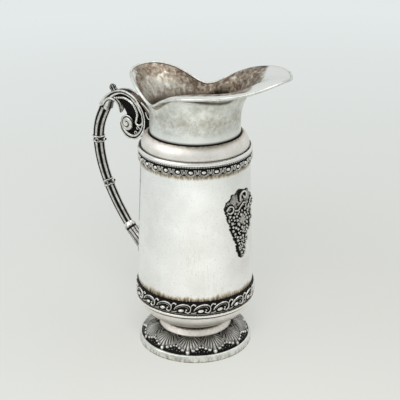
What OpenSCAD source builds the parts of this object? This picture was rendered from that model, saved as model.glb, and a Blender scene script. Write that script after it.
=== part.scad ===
// Silver pouring ewer: a leaf-worked foot, a tapered barrel between two cast borders, a lobed
// pouring mouth and a cast handle shaped like a jointed branch. All sizes are in millimetres.
// The origin lies on the axis in the plane the foot stands on, the spout points to +X,
// the handle to -X, and +Z is up.

/* [Sheet and joints] */
// Thickness of the raised sheet
wall = 1; // [0.8:0.1:1.4]
// Solder clearance between two seated pieces
fit = 0.05; // [0.02:0.01:0.1]
// Length of the hidden sleeves inside the barrel
sleeve_h = 5; // [3:0.5:7]

/* [Foot] */
// Outer radius of the foot rim
foot_r = 52; // [48:0.5:58]
// Height of the foot rim
foot_rim_h = 6.8; // [5.6:0.2:9]
// Radial width of the foot rim
foot_rim_w = 5; // [4:0.2:7]
// Depth of the rim's seat for the cushion
rim_seat = 1.6; // [1:0.1:2.2]
// Width of the rim outside that seat
rim_step = 2; // [1.6:0.1:2.6]
// Rounding radius of the cushion
cushion_round = 16; // [13.5:0.1:17]
// Rise of the cushion above the rim
cushion_rise = 10.4; // [9.5:0.1:12]
// Number of acanthus leaves on the cushion
leaf_count = 12; // [9:1:14]
// Height of the leaf relief
leaf_relief = 1.5; // [0.8:0.1:2]

/* [Stem and bowl] */
// Narrowest radius of the stem
stem_r = 28; // [24:0.5:30]
// Height of the stem's hollow moulding
stem_cove = 5.6; // [4:0.2:7]
// Height of the flat edge under that moulding
stem_edge = 0.8; // [0.5:0.1:1.5]
// Radius of the half-round wire at the top of the stem
stem_wire_r = 1.2; // [0.8:0.1:1.6]
// Height of the bowl from the wire to the barrel
bowl_h = 21.8; // [18:0.2:26]
// Rounding radius of the bowl
bowl_round = 34; // [28:1:45]

/* [Barrel and borders] */
// Barrel radius at its lower end
barrel_r0 = 53; // [48:0.5:56]
// Barrel radius at its upper end
barrel_r1 = 48.9; // [46:0.1:53]
// Barrel height
barrel_h = 142.6; // [120:0.2:160]
// Radius of the half-round bead under the lower border
bead_r = 2.2; // [1.6:0.1:2.6]
// Height of the lower border
lower_band_h = 12; // [10:0.5:14]
// Scroll units in the lower border
scroll_count = 19; // [14:1:20]
// Height of the upper border
upper_band_h = 7.6; // [6.6:0.2:9]
// Eggs in the upper border
egg_count = 28; // [20:1:30]
// Thickness of the strip behind each border's relief
band_strip = 0.8; // [0.5:0.1:1.2]
// Radius of the half-round wire under the shoulder
upper_wire_r = 1.7; // [1.2:0.1:2.2]

/* [Shoulder and mouth] */
// Step from the barrel's upper edge in to the shoulder
shoulder_step = 1; // [0:0.1:1.1]
// Upright part of the shoulder
shoulder_h = 3.3; // [2.6:0.1:8]
// Rounding radius of the shoulder
shoulder_round = 12; // [9:0.2:14]
// Outer radius of the neck
neck_r = 40.2; // [38:0.1:41]
// Height of the straight neck above the shoulder
neck_h = 13; // [8:0.5:16]
// Reach of the spout's tip from the axis
spout_reach = 90.5; // [80:0.5:105]
// Height of the spout's tip above the shoulder
spout_h = 60; // [52:0.5:66]
// Reach of the wide front lobe beside the tip
lobe_reach = 82.5; // [72:0.5:92]
// Height of the wide front lobe above the shoulder
lobe_h = 53; // [44:0.5:58]
// Radius of the mouth at its two pinches
pinch_r = 44; // [43:0.5:50]
// Height of the pinches above the shoulder
pinch_h = 28.5; // [24:0.5:34]
// Reach of the back lobe from the axis
back_reach = 63; // [56:0.5:68]
// Height of the back lobe above the shoulder
back_h = 47; // [40:0.5:52]
// Angle from the spout to each pinch
pinch_angle = 113; // [105:1:120]
// Downward turn of the front lip, in degrees
lip_droop = 18; // [0:1:35]
// Radius of the wire along the mouth's edge
rim_wire_r = 1.2; // [0.7:0.1:1.4]

/* [Handle] */
// Distance of the branch's outermost point from the axis
handle_reach = 115.4; // [108:0.2:125]
// Radius of the branch at its upper end
branch_r1 = 4.8; // [4:0.1:5.2]
// Radius of the branch at its lower end
branch_r0 = 3.7; // [3:0.1:4.5]
// Depth of the branch's flutes
flute = 0.5; // [0.2:0.05:0.7]
// Length of each knot along the branch
knot_len = 7; // [5:0.2:9]
// How far the knots stand out from the branch
knot_swell = 1.2; // [0.8:0.1:2]
// Distance of the scroll's eye from the neck
eye_out = 36; // [33:0.5:40]
// Drop of the scroll's eye below the top of the shoulder
eye_drop = 8.4; // [6:0.2:10]
// Radius of the scroll on the side of the neck
scroll_r = 24; // [21:0.2:26]
// Extra radius of the scroll where it meets the branch
scroll_open = 6.6; // [6:0.2:12]
// Depth of the scroll ribbon
scroll_t = 6; // [4.5:0.1:7]
// Width of the scroll ribbon
scroll_w = 10; // [8:0.2:13]
// Thickness of the web inside the scroll
web_t = 5; // [3:0.1:7]
// Height of the thumb bud above the scroll
bud_h = 6.6; // [4:0.2:9]
// Drop from the scroll's eye to the upper knot
knot_drop = 24; // [18:0.5:30]
// Height of the lower seat above the lower border
seat_up = 11; // [9:0.5:20]
// Level distance of the lower collar from the barrel
collar_out = 26.5; // [20:0.5:32]
// Rise of the lower collar above its seat
collar_up = 19; // [14:0.5:26]
// Radius of the leafy cup where it meets the barrel
calyx_r = 8.5; // [7:0.1:9]

/* [Grape mount] */
// Height of the mount's lower tip above the lower border
mount_up = 34; // [26:0.5:42]
// Height of the mount
mount_h = 65; // [60:0.5:75]
// Half width of the mount
mount_half = 20; // [18:0.5:23]
// Thickness of the mount's backing
mount_t = 1.8; // [1.2:0.1:2.5]
// Radius of one grape
grape_r = 3.3; // [3:0.1:3.5]

/* [Hidden] */

// The stack of levels, from the table upwards.
z_cushion = foot_rim_h - rim_seat + fit;
z_cushion_top = foot_rim_h + cushion_rise;
z_stem = z_cushion_top;
z_stem_wire = z_stem + stem_edge + stem_cove + fit;
z_bowl = z_stem_wire + 2 * stem_wire_r + fit;
z_bowl_top = z_bowl + bowl_h;
z_barrel = z_bowl_top + fit;
z_barrel_top = z_barrel + barrel_h;
z_lower_band = z_barrel + bead_r + fit;
z_lower_band_top = z_lower_band + lower_band_h;
z_upper_band = z_barrel_top - upper_wire_r - fit - upper_band_h;
z_shoulder = z_barrel_top + fit;
shoulder_r = barrel_r1 - shoulder_step;
shoulder_centre = [shoulder_r - shoulder_round, z_shoulder + shoulder_h];
z_neck = shoulder_centre.y + sqrt(pow(shoulder_round, 2) - pow(neck_r - shoulder_centre.x, 2));
z_flare = z_neck + neck_h;

// Outer radius of the tapered barrel at height z.
function barrel_r(z) = barrel_r0 + (barrel_r1 - barrel_r0) * (z - z_barrel) / barrel_h;

// The cushion's rounding: its centre, and the outline from the stem out to the rim.
cushion_r = foot_r - rim_step;
cushion_cz = z_cushion_top - cushion_round;
cushion_cr = cushion_r - sqrt(pow(cushion_round, 2) - pow(z_cushion - cushion_cz, 2));

// The bowl's rounding passes through the stem wire's seat and the barrel's lower edge.
bowl_foot = [stem_r + stem_wire_r / 2, z_bowl];
bowl_lip = [barrel_r0, z_bowl_top];
bowl_centre = arc_centre(bowl_foot, bowl_lip, bowl_round);

// Centre of the arc of radius r from p to q that bulges to the right of that line.
function arc_centre(p, q, r) =
  let (d = q - p, half = norm(d) / 2)
  (p + q) / 2 + sqrt(r * r - half * half) * [-d.y, d.x] / norm(d);

// Handle anchors in the plane of the handle, each [x, z].
eye = [-(neck_r + eye_out), z_neck - eye_drop];
scroll_start = 162;
scroll_end = -250;
volute_rate = 0.42;
scroll_top = eye + scroll_c(scroll_start) * dir(scroll_start);
upper_knot = [-handle_reach, eye.y - knot_drop];
seat = [-barrel_r(z_lower_band_top + seat_up), z_lower_band_top + seat_up];
collar = seat + [-collar_out, collar_up];
collar_dir = dir(131);

// Share of the lower curve at which the lower knot sits.
knot_at = 0.49;

// Mouth: sections around the axis, points up each section, and depth of the neck inside the shoulder.
mouth_steps = 80;
flare_steps = 11;
neck_tuck = 4;
mouth_angles = [for (i = [0:mouth_steps - 1]) 360 * i / mouth_steps - 180];

$fn = 96;

function dir(a) = [cos(a), sin(a)];

function bezier(p, t) =
  pow(1 - t, 3) * p[0] + 3 * t * pow(1 - t, 2) * p[1] + 3 * t * t * (1 - t) * p[2] + pow(t, 3) * p[3];

function bezier_dir(p, t) =
  let (d = pow(1 - t, 2) * (p[1] - p[0]) + 2 * t * (1 - t) * (p[2] - p[1]) + t * t * (p[3] - p[2]))
  d / norm(d);

// A point [x, z] of the handle's plane, moved across it by y.
function in_plane(p, y = 0) = [p.x, y, p.y];

// A closed section of the handle at point p, square to direction d, from outline points [across, out].
function section(p, d, outline) =
  [for (o = outline) in_plane(p + o.y * [-d.y, d.x], o.x)];

// Round outline of n points with lobes, and a soft-cornered one for the scroll's ribbon.
function lobed(r, n, lobes, depth) =
  [for (i = [0:n - 1]) let (a = 360 * i / n) (r + depth * cos(lobes * a)) * dir(a)];
ribbon_count = 12;
function ribbon(w, t) = [
  for (i = [0:ribbon_count - 1])
    let (c = dir(360 * (i + 0.5) / ribbon_count))
    [w / 2 * soft(c.x), t / 2 * soft(c.y)]
];
function soft(v) = sign(v) * sqrt(abs(v));

// Skin over a row of sections, closed at both ends by strips across each section.
module skin(rows) {
  n = len(rows[0]);
  m = len(rows);
  last = (m - 1) * n;
  sides = [
    for (i = [0:m - 2], j = [0:n - 1])
      let (a = i * n + j, b = i * n + (j + 1) % n)
        each [[a, a + n, b], [b, a + n, b + n]]
  ];
  ends = [
    for (j = [0:n / 2 - 2])
      let (k = n - 1 - j)
        each [
          [j, j + 1, k - 1], [j, k - 1, k],
          [last + j, last + k - 1, last + j + 1], [last + j, last + k, last + k - 1]
        ]
  ];
  polyhedron([for (row = rows) each row], concat(sides, ends));
}

// Skin over closed sections that run around the axis and meet again.
module hoop(rows) {
  n = len(rows[0]);
  m = len(rows);
  sides = [
    for (i = [0:m - 1], j = [0:n - 1])
      let (next = (j + 1) % n, row = i * n, after = (i + 1) % m * n)
        each [[row + j, row + next, after + j], [row + next, after + next, after + j]]
  ];
  polyhedron([for (row = rows) each row], sides);
}

// Upright strip of a turned profile between two radii and two levels.
module strip(r0, r1, z0, z1) {
  translate([r0, z0]) square([r1 - r0, z1 - z0]);
}

// Half-round wire whose flat side lies at radius r around level z.
module half_round(r, z, wire_r) {
  rotate_extrude()
    intersection() {
      translate([r, z]) circle(wire_r);
      strip(r, r + wire_r, z - wire_r, z + wire_r);
    }
}

module foot_rim() {
  color("silver")
    rotate_extrude()
      difference() {
        union() {
          strip(foot_r - foot_rim_w, foot_r, 0, foot_rim_h - rim_step);
          strip(foot_r - foot_rim_w, foot_r - rim_step, 0, foot_rim_h);
          translate([foot_r - rim_step, foot_rim_h - rim_step]) circle(rim_step);
        }
        strip(0, cushion_r + fit, z_cushion - fit, foot_rim_h + rim_step);
      }
}

// Outline of the cushion from the stem (u = 0) to the rim (u = 1): [r, z, lean of the outward normal].
leaf_gap = 0.6;
leaf_start_r = stem_r + stem_cove + leaf_gap;
leaf_flat = cushion_cr - leaf_start_r;
leaf_turn = 67;
leaf_len = leaf_flat + cushion_round * leaf_turn * PI / 180;
function cushion_at(u) =
  let (s = u * leaf_len, a = max(0, s - leaf_flat) / cushion_round * 180 / PI)
  s < leaf_flat ? [leaf_start_r + s, z_cushion_top, 0]
  : [cushion_cr + cushion_round * sin(a), cushion_cz + cushion_round * cos(a), a];

// One acanthus leaf lying on the cushion: notched along both edges, its root wide enough to join the next.
// Its width is a share of the space per leaf, and its relief grows from the root to a tip that turns down.
leaf_rows = 9;
leaf_cols = 5;
leaf_seat = 3 * fit;
leaf_share = 0.386;
leaf_w = leaf_share * 2 * PI * (cushion_cr + cushion_round / 2) / leaf_count;
leaf_taper = 163;
notch_count = 3;
leaf_notch = 0.14;
leaf_root = 1.06 * leaf_start_r * tan(180 / leaf_count);
function leaf_half(u) = max(
  leaf_root * exp(-pow(u / 0.22, 2)),
  leaf_w * pow(sin(leaf_taper * pow(u + 0.1, 0.8)), 0.55) * (1 + leaf_notch * cos(360 * notch_count * u)));
function leaf_lift(u, v) =
  leaf_seat + leaf_relief * (0.45 + 0.55 * u) * (1 - 0.55 * v * v) * (1 - 0.6 * pow(u, 8));
function leaf_point(u, v, lift) =
  let (c = cushion_at(u), r = c[0] + lift * sin(c[2]), a = v * leaf_half(u) / c[0] * 180 / PI)
  [r * cos(a), r * sin(a), c[1] + lift * cos(c[2])];

module leaf() {
  us = [for (i = [0:leaf_rows - 1]) i / (leaf_rows - 1)];
  vs = [for (j = [0:leaf_cols - 1]) 2 * j / (leaf_cols - 1) - 1];
  skin([
    for (u = us) concat(
      [for (v = vs) leaf_point(u, v, leaf_lift(u, v))],
      [for (v = vs) leaf_point(u, -v, leaf_seat)]
    )
  ]);
}

module foot_cushion() {
  color("dimgray")
    rotate_extrude() {
      difference() {
        translate([cushion_cr, cushion_cz]) circle(cushion_round);
        translate([cushion_cr, cushion_cz]) circle(cushion_round - wall);
        strip(-cushion_round, cushion_cr, cushion_cz - 2 * cushion_round, z_cushion_top + wall);
        strip(cushion_cr, foot_r + cushion_round, cushion_cz - 2 * cushion_round, z_cushion);
      }
      strip(stem_r - wall, cushion_cr + wall, z_cushion_top - wall + fit, z_cushion_top - fit);
    }
}

module leaf_wreath() {
  color("gainsboro") for (i = [0:leaf_count - 1]) rotate(360 * i / leaf_count) leaf();
}

module foot_stem() {
  color("mistyrose")
    rotate_extrude()
      difference() {
        strip(stem_r - wall, stem_r + stem_cove, z_stem, z_stem + stem_edge + stem_cove);
        translate([stem_r + stem_cove, z_stem + stem_edge + stem_cove]) circle(stem_cove);
      }
}

module stem_wire() {
  color("silver") {
    half_round(stem_r, z_stem_wire + stem_wire_r, stem_wire_r);
    rotate_extrude() strip(stem_r - wall, stem_r + fit, z_stem_wire, z_stem_wire + 2 * stem_wire_r);
  }
}

// The bowl's hidden sleeve follows the barrel's taper and roots in the bowl's own wall.
module bowl_sleeve() {
  root = z_bowl_top - 1.6 * wall;
  top = z_bowl_top + sleeve_h;
  root_r = barrel_r0 - wall - fit;
  top_r = barrel_r(top) - wall - fit;
  polygon([[root_r - wall, root], [root_r, root], [top_r, top], [top_r - wall, top]]);
}

module bowl() {
  color("silver")
    rotate_extrude() {
      intersection() {
        difference() {
          translate(bowl_centre) circle(bowl_round);
          translate(bowl_centre) circle(bowl_round - wall);
        }
        strip(bowl_foot.x, barrel_r0, z_bowl, z_bowl_top);
      }
      strip(0, bowl_foot.x + wall / 2, z_bowl, z_bowl + wall);
      bowl_sleeve();
    }
}

module base_bead() {
  color("whitesmoke") half_round(barrel_r0 + fit, z_barrel, bead_r);
}

module barrel() {
  color("whitesmoke")
    rotate_extrude()
      polygon([
        [barrel_r0 - wall, z_barrel], [barrel_r0, z_barrel],
        [barrel_r1, z_barrel_top], [barrel_r1 - wall, z_barrel_top]
      ]);
}

// The barrel filled solid and grown by the clearance, to cut the seats of what is soldered to it.
module barrel_form() {
  rotate_extrude()
    polygon([
      [0, z_barrel], [barrel_r0 + fit, z_barrel],
      [barrel_r1 + fit, z_barrel_top], [0, z_barrel_top]
    ]);
}

// Borders: how far they run into the barrel before their seat is cut, their fine edges, and the
// tube and berry of the lower border's scrolls.
seat_depth = 5;
lower_edge_r = 0.6;
upper_edge_r = 0.5;
wave_tube_r = 1;
berry_r = 1.9;

// Strip around the barrel between two levels, with a fine raised edge above and below.
module band_strip_ring(z0, z1, edge_r) {
  rotate_extrude() {
    polygon([
      [barrel_r(z0) - seat_depth, z0], [barrel_r(z0) + fit + band_strip, z0],
      [barrel_r(z1) + fit + band_strip, z1], [barrel_r(z1) - seat_depth, z1]
    ]);
    for (z = [z0 + 1.3 * edge_r, z1 - 1.3 * edge_r])
      translate([barrel_r(z) + fit + band_strip, z]) circle(edge_r, $fn = 32);
  }
}

// Places a border unit on the barrel: local x runs along the border, y up, z out of it.
module on_band(angle, z, along = 0, up = 0) {
  rotate(angle)
    translate([barrel_r(z) + fit + band_strip, along, z + up])
      rotate([90, 0, 90])
        children();
}

// Part of a round tube bent to a circle, lying in the local xy plane.
module bent_tube(bend_r, tube_r, from, sweep) {
  rotate(from) rotate_extrude(angle = sweep) translate([bend_r, 0]) circle(tube_r, $fn = 24);
}

// Round boss sunk into its ground by a share of its radius.
module berry(r, sink = 0.2) {
  translate([0, 0, -sink * r]) sphere(r, $fn = 32);
}

module lower_band() {
  mid = z_lower_band + lower_band_h / 2;
  wave_r = 0.25 * lower_band_h;
  wave_from = -35;
  wave_sweep = 215;
  color("darkgray")
    difference() {
      union() {
        band_strip_ring(z_lower_band, z_lower_band_top, lower_edge_r);
        for (i = [0:scroll_count - 1]) {
          a = 360 * (i + 0.5) / scroll_count;
          on_band(a, mid, -0.3 * wave_r, 0.1 * wave_r)
            bent_tube(wave_r, wave_tube_r, wave_from, wave_sweep);
          on_band(a, mid, 0, -0.25 * wave_r) berry(berry_r);
        }
      }
      barrel_form();
    }
}

// Small blunt peg rooted in its ground.
module stud(r) {
  translate([0, 0, -2 * r]) cylinder(h = 3 * r, r1 = 1.2 * r, r2 = 0.7 * r, $fn = 32);
}

module upper_band() {
  mid = z_upper_band + upper_band_h / 2;
  egg_r = 0.36 * upper_band_h;
  color("darkgray")
    difference() {
      union() {
        band_strip_ring(z_upper_band, z_upper_band + upper_band_h, upper_edge_r);
        for (i = [0:egg_count - 1]) {
          a = 360 * (i + 0.5) / egg_count;
          on_band(a, mid) berry(egg_r, 0.4);
          on_band(a + 180 / egg_count, mid) stud(0.4 * egg_r);
        }
      }
      barrel_form();
    }
}

module upper_wire() {
  flat_r = barrel_r(z_upper_band + upper_band_h) + fit;
  color("whitesmoke") half_round(flat_r, z_barrel_top, upper_wire_r);
}

// Outer outline of the shoulder, grown by a clearance, as a solid disc.
module shoulder_form(grow) {
  strip(0, shoulder_r + grow, z_shoulder - grow, shoulder_centre.y);
  intersection() {
    translate(shoulder_centre) circle(shoulder_round + grow);
    strip(0, shoulder_r + grow, shoulder_centre.y, shoulder_centre.y + shoulder_round);
  }
}

module shoulder() {
  sleeve_r = barrel_r1 - wall - fit;
  color("silver")
    rotate_extrude() {
      difference() {
        shoulder_form(0);
        strip(0, neck_r + fit, z_shoulder - sleeve_h, z_neck + shoulder_round);
        strip(0, shoulder_r - wall, z_shoulder - sleeve_h, shoulder_centre.y);
        translate(shoulder_centre) circle(shoulder_round - wall);
      }
      strip(sleeve_r - wall, sleeve_r, z_barrel_top - sleeve_h, z_shoulder + wall);
    }
}

// The mouth's edge at angle a from the spout: how far out, how high, and the lip's slope there.
// Each exponent sets how quickly a lobe falls away towards the pinch beside it.
tip_angle = 17;
droop_angle = 45;
pinch_slope = 65;
back_slope = 40;
function front(a) = min(abs(a) / pinch_angle, 1);
function back(a) = min((180 - abs(a)) / (180 - pinch_angle), 1);
function tip(a) = exp(-pow(a / tip_angle, 2));
function crest(share) = pow(cos(90 * share), 2);
function edge_r(a) = pinch_r
  + (lobe_reach - pinch_r) * pow(crest(pow(front(a), 1.7)), 1.4)
  + (spout_reach - lobe_reach) * tip(a)
  + (back_reach - pinch_r) * crest(back(a));
function edge_z(a) = z_neck + pinch_h
  + (lobe_h - pinch_h) * crest(pow(front(a), 2.2))
  + (spout_h - lobe_h) * tip(a)
  + (back_h - pinch_h) * crest(pow(back(a), 1.35));
function droop(a) = lip_droop * (1 - exp(-pow(a / droop_angle, 2)));
function edge_slope(a) = pinch_slope
  - (pinch_slope + droop(a)) * pow(1 - pow(front(a), 8), 1.5)
  - (pinch_slope - back_slope) * pow(1 - pow(back(a), 2), 2);

// Outline of the flare at angle a, from the neck to the edge, and the pull of its two inner points.
flare_pull = 0.45;
function flare(a) =
  let (p = [neck_r, z_flare], e = [edge_r(a), edge_z(a)], reach = flare_pull * norm(e - p))
  [p, p + [0, flare_pull * (e.y - p.y)], e - reach * dir(edge_slope(a)), e];

function around(p, a) = [p.x * cos(a), p.x * sin(a), p.y];

module mouth() {
  color("lightgray")
    hoop([
      for (a = mouth_angles)
        let (
          curve = flare(a),
          ts = [for (k = [0:flare_steps]) k / flare_steps],
          outer = concat([[neck_r, z_neck - neck_tuck]], [for (t = ts) bezier(curve, t)]),
          turn = concat([[0, 1]], [for (t = ts) bezier_dir(curve, t)]),
          inner = [for (k = [0:len(outer) - 1]) outer[k] + wall * [-turn[k].y, turn[k].x]]
        )
        [for (p = outer) around(p, a), for (k = [len(inner) - 1:-1:0]) around(inner[k], a)]
    ]);
}

module rim_wire() {
  sides = 6;
  color("white")
    hoop([
      for (a = mouth_angles)
        let (
          d = dir(edge_slope(a)),
          centre = [edge_r(a), edge_z(a)] + wall / 2 * [-d.y, d.x] + (rim_wire_r + fit) * d
        )
        [
          for (k = [0:sides - 1])
            around(centre + rim_wire_r * dir(edge_slope(a) + 360 * (k + 0.5) / sides), a)
        ]
    ]);
}

// Centre line of the scroll ribbon at angle a around the eye, and the ribbon's depth there.
function scroll_c(a) = a > 0 ? scroll_r + scroll_open * pow(a / scroll_start, 1.8)
  : scroll_r * exp(volute_rate * a * PI / 180);
depth_angle = 220;
function scroll_depth(a) = a > 0 ? scroll_t + (2 * branch_r1 - scroll_t) * pow(a / scroll_start, 3)
  : scroll_t * exp(a / depth_angle);
function scroll_at(a) = eye + scroll_c(a) * dir(a);
function scroll_dir(a) = let (d = scroll_at(a - 1) - scroll_at(a + 1)) d / norm(d);

module scroll_ribbon() {
  rows = 50;
  skin([
    for (i = [0:rows])
      let (a = scroll_start + (scroll_end - scroll_start) * i / rows)
      section(scroll_at(a), scroll_dir(a), ribbon(scroll_w, scroll_depth(a)))
  ]);
}

// Flat plate in the plane of the handle, centred on that plane.
module handle_plate(points, t) {
  rotate([90, 0, 0]) linear_extrude(t, center = true) polygon(points);
}

// A leaf curl along a curve in the handle's plane, flat across it and thinning from r0 to r1.
curl_flat = 1.3;
module curl(p, r0, r1) {
  rows = 10;
  points = 8;
  skin([
    for (i = [0:rows])
      let (t = i / rows, r = r0 + (r1 - r0) * t)
      section(bezier(p, t), bezier_dir(p, t), [for (k = [0:points - 1])
        let (o = r * dir(360 * k / points)) [curl_flat * o.x, o.y]])
  ]);
}

// Leaf curl inside the scroll: where it leaves the ribbon, and its radius at root and tip.
curl_angle = 150;
curl_r = 3.4;
curl_tip_r = 1;
curl_start = eye + (scroll_c(curl_angle) - scroll_t) * dir(curl_angle);
curl_path = [
  curl_start, curl_start + scroll_r * [0.375, 0.29],
  eye + scroll_r * [-0.21, 0.71], eye + scroll_r * [-0.54, 0.1]
];

// Scroll ribbon with a web inside it, a volute boss, and a pad that fits the neck and the shoulder.
module handle_bracket() {
  web = [for (a = [112:-8:-200]) scroll_at(a)];
  pad_r = neck_r - wall;
  pad = concat(
    [for (a = [80:-10:0]) scroll_at(a)],
    [[-pad_r, z_shoulder], [-pad_r, z_neck + 0.55 * neck_h]]
  );
  top_dir = scroll_dir(scroll_start);
  color("gray")
    difference() {
      union() {
        scroll_ribbon();
        handle_plate(web, web_t);
        handle_plate(pad, 0.8 * scroll_w);
        translate(in_plane(eye))
          rotate([90, 0, 0])
            cylinder(h = 1.1 * scroll_w, r = 0.15 * scroll_r, center = true);
        curl(curl_path, curl_r, curl_tip_r);
      }
      cylinder(r = neck_r + fit, h = z_neck + 2 * neck_h);
      rotate_extrude() shoulder_form(fit);
      translate(in_plane(scroll_top, -scroll_w))
        rotate([0, -atan2(top_dir.y, top_dir.x), 0])
          translate([-scroll_w, 0, -scroll_w])
            cube([scroll_w, 2 * scroll_w, 2 * scroll_w]);
    }
}

// Turned bud on a short neck, standing square on the scroll's back.
bud_angle = 124;
module thumb_bud() {
  base_r = scroll_c(bud_angle) + scroll_depth(bud_angle) / 2 + 4 * fit;
  bud_r = 0.5 * bud_h;
  color("dimgray")
    translate(in_plane(eye + base_r * dir(bud_angle)))
      rotate([0, 90 - bud_angle, 0])
        rotate_extrude() {
          strip(0, 0.8 * bud_r, 0, 0.4 * bud_r);
          intersection() {
            translate([0, bud_r]) circle(bud_r);
            strip(0, bud_r, 0.2 * bud_r, bud_h);
          }
        }
}

// Branch: the lower curve runs from the collar to the upper knot, the upper one on to the scroll.
lower_rise = upper_knot.y - collar.y;
upper_rise = scroll_top.y - upper_knot.y;
lower_curve = [
  collar, collar + 0.395 * lower_rise * collar_dir,
  upper_knot - [0, 0.34 * lower_rise], upper_knot
];
upper_curve = [
  upper_knot, upper_knot + [0, 0.5 * upper_rise],
  scroll_top - 0.3 * upper_rise * scroll_dir(scroll_start), scroll_top
];
lower_knot = bezier(lower_curve, knot_at);
lower_knot_dir = bezier_dir(lower_curve, knot_at);

// Branch radius by height, thinning towards the collar, and its fluted section.
flute_count = 8;
flute_point_count = 24;
function branch_r(p) = branch_r0 + (branch_r1 - branch_r0) * (p.y - collar.y) / (scroll_top.y - collar.y);
function branch_row(p, d) =
  section(p, d, lobed(branch_r(p) - flute / 2, flute_point_count, flute_count, flute / 2));

// A length of branch along a curve, with flat ends on the given points and directions.
module branch(curve, t0, t1, end0, dir0, end1, dir1) {
  steps = 9;
  color("gray")
    skin(concat(
      [branch_row(end0, dir0)],
      [
        for (i = [1:steps - 1])
          let (t = t0 + (t1 - t0) * i / steps)
          branch_row(bezier(curve, t), bezier_dir(curve, t))
      ],
      [branch_row(end1, dir1)]
    ));
}

// Each branch keeps clear of the knots by a length along its line and by shares of its curve.
knot_gap = knot_len / 2 + fit;
upper_clear = 0.1;
lower_clear = 0.05;

module branch_upper() {
  branch(upper_curve, upper_clear, 1,
    upper_knot + knot_gap * [0, 1], [0, 1],
    scroll_top - fit * scroll_dir(scroll_start), scroll_dir(scroll_start));
}

module branch_middle() {
  branch(lower_curve, knot_at + lower_clear, 1 - lower_clear,
    lower_knot + knot_gap * lower_knot_dir, lower_knot_dir,
    upper_knot - knot_gap * [0, 1], [0, 1]);
}

module branch_lower() {
  branch(lower_curve, lower_clear, knot_at - lower_clear,
    collar + knot_gap * collar_dir, collar_dir,
    lower_knot - knot_gap * lower_knot_dir, lower_knot_dir);
}

// Barrel-shaped knot at point p along direction d, with buds on its inner side and its flanks.
module knot(p, d) {
  r = branch_r(p) + knot_swell;
  ring_r = 0.16 * knot_len;
  bud_r = 0.45 * r;
  lean = 90 - atan2(d.y, d.x);
  color("dimgray")
    translate(in_plane(p))
      rotate([0, lean, 0]) {
        rotate_extrude() {
          strip(0, r - 0.7 * knot_swell, -knot_len / 2, knot_len / 2);
          for (side = [-1, 1])
            translate([r - knot_swell, 2 * side * ring_r]) circle(ring_r, $fn = 32);
        }
        for (a = [0, 120, 240])
          rotate(a) translate([r, 0, 0]) sphere(bud_r, $fn = 32);
      }
}

module knot_upper() {
  knot(upper_knot, [0, 1]);
}

module knot_lower() {
  knot(lower_knot, lower_knot_dir);
}

// Leafy cup: its path from the collar to the barrel, the ring near its start, and its drooping leaf.
cup_start = collar + knot_len / 2 * collar_dir;
cup_path = [
  cup_start, cup_start - 0.45 * collar_out * collar_dir,
  seat + [-0.3 * collar_out, 0.15 * collar_up], seat + [4 * wall, -wall]
];
cup_lobe_count = 5;
ring_swell = 0.9;
ring_at = 0.16;
function cup_r(t) =
  branch_r0 + (calyx_r - branch_r0) * pow(t, 1.4) + ring_swell * exp(-pow((t - ring_at) / 0.07, 2));
droop_start = bezier(cup_path, 0.62);
droop_path = [
  droop_start, droop_start + collar_up * [-0.16, -0.37],
  droop_start + collar_up * [0.05, -0.63], droop_start + collar_up * [0.21, -0.84]
];
droop_r = 4;
droop_tip_r = 0.8;

module handle_calyx() {
  rows = 10;
  color("gray")
    difference() {
      union() {
        skin([
          for (i = [0:rows])
            let (t = i / rows, r = cup_r(t))
            section(
              bezier(cup_path, t), bezier_dir(cup_path, t),
              lobed(r, 4 * cup_lobe_count, cup_lobe_count, 0.09 * r * t)
            )
        ]);
        curl(droop_path, droop_r, droop_tip_r);
      }
      barrel_form();
    }
}

// Grape mount: a vine leaf pair over a bunch, on a backing that follows the barrel, with a tendril on top.
mount_z = z_lower_band_top + mount_up;
vine_leaf_rise = 1.2;
tendril_r = 1.5;
tendril_up = 0.92;
grape_row_count = 9;
bunch_foot = 0.06;
bunch_span = 0.62;

// Shell of thickness t on the barrel, kept only inside a flat outline [across, up] seen from the front.
module barrel_patch(t) {
  intersection() {
    rotate_extrude()
      polygon([
        [0, mount_z], [barrel_r(mount_z) + fit + t, mount_z],
        [barrel_r(mount_z + mount_h) + fit + t, mount_z + mount_h], [0, mount_z + mount_h]
      ]);
    translate([0, 0, mount_z])
      rotate([90, 0, 90])
        linear_extrude(2 * barrel_r0)
          children();
  }
}

// Half width of the bunch at height share s above the mount's tip.
function bunch_half(s) = mount_half * 0.82 * pow(s / 0.7, 0.8);

module bunch_outline() {
  shares = [0.2, 0.45, 0.7];
  polygon(concat(
    [[0, 0]], [for (s = shares) [bunch_half(s), s * mount_h]],
    [[0.4 * mount_half, 0.96 * mount_h], [-0.4 * mount_half, 0.96 * mount_h]],
    [for (k = [2:-1:0]) [-bunch_half(shares[k]), shares[k] * mount_h]]
  ));
}

module grape_row(s) {
  z = mount_z + s * mount_h;
  count = 1 + floor(2 * bunch_half(s) / (2.3 * grape_r));
  for (k = [0:count - 1]) {
    across = (k - (count - 1) / 2) * 1.7 * grape_r;
    rotate(across / barrel_r(z) * 180 / PI)
      translate([barrel_r(z) + fit + mount_t, 0, z])
        sphere(grape_r, $fn = 32);
  }
}

module vine_leaf(side) {
  lobe = 0.3 * mount_half;
  translate([side * 0.5 * mount_half, 0.76 * mount_h]) {
    circle(1.2 * lobe);
    for (a = [-60:60:240])
      rotate(a) translate([1.15 * lobe, 0]) circle(0.55 * lobe, $fn = 32);
  }
}

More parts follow.
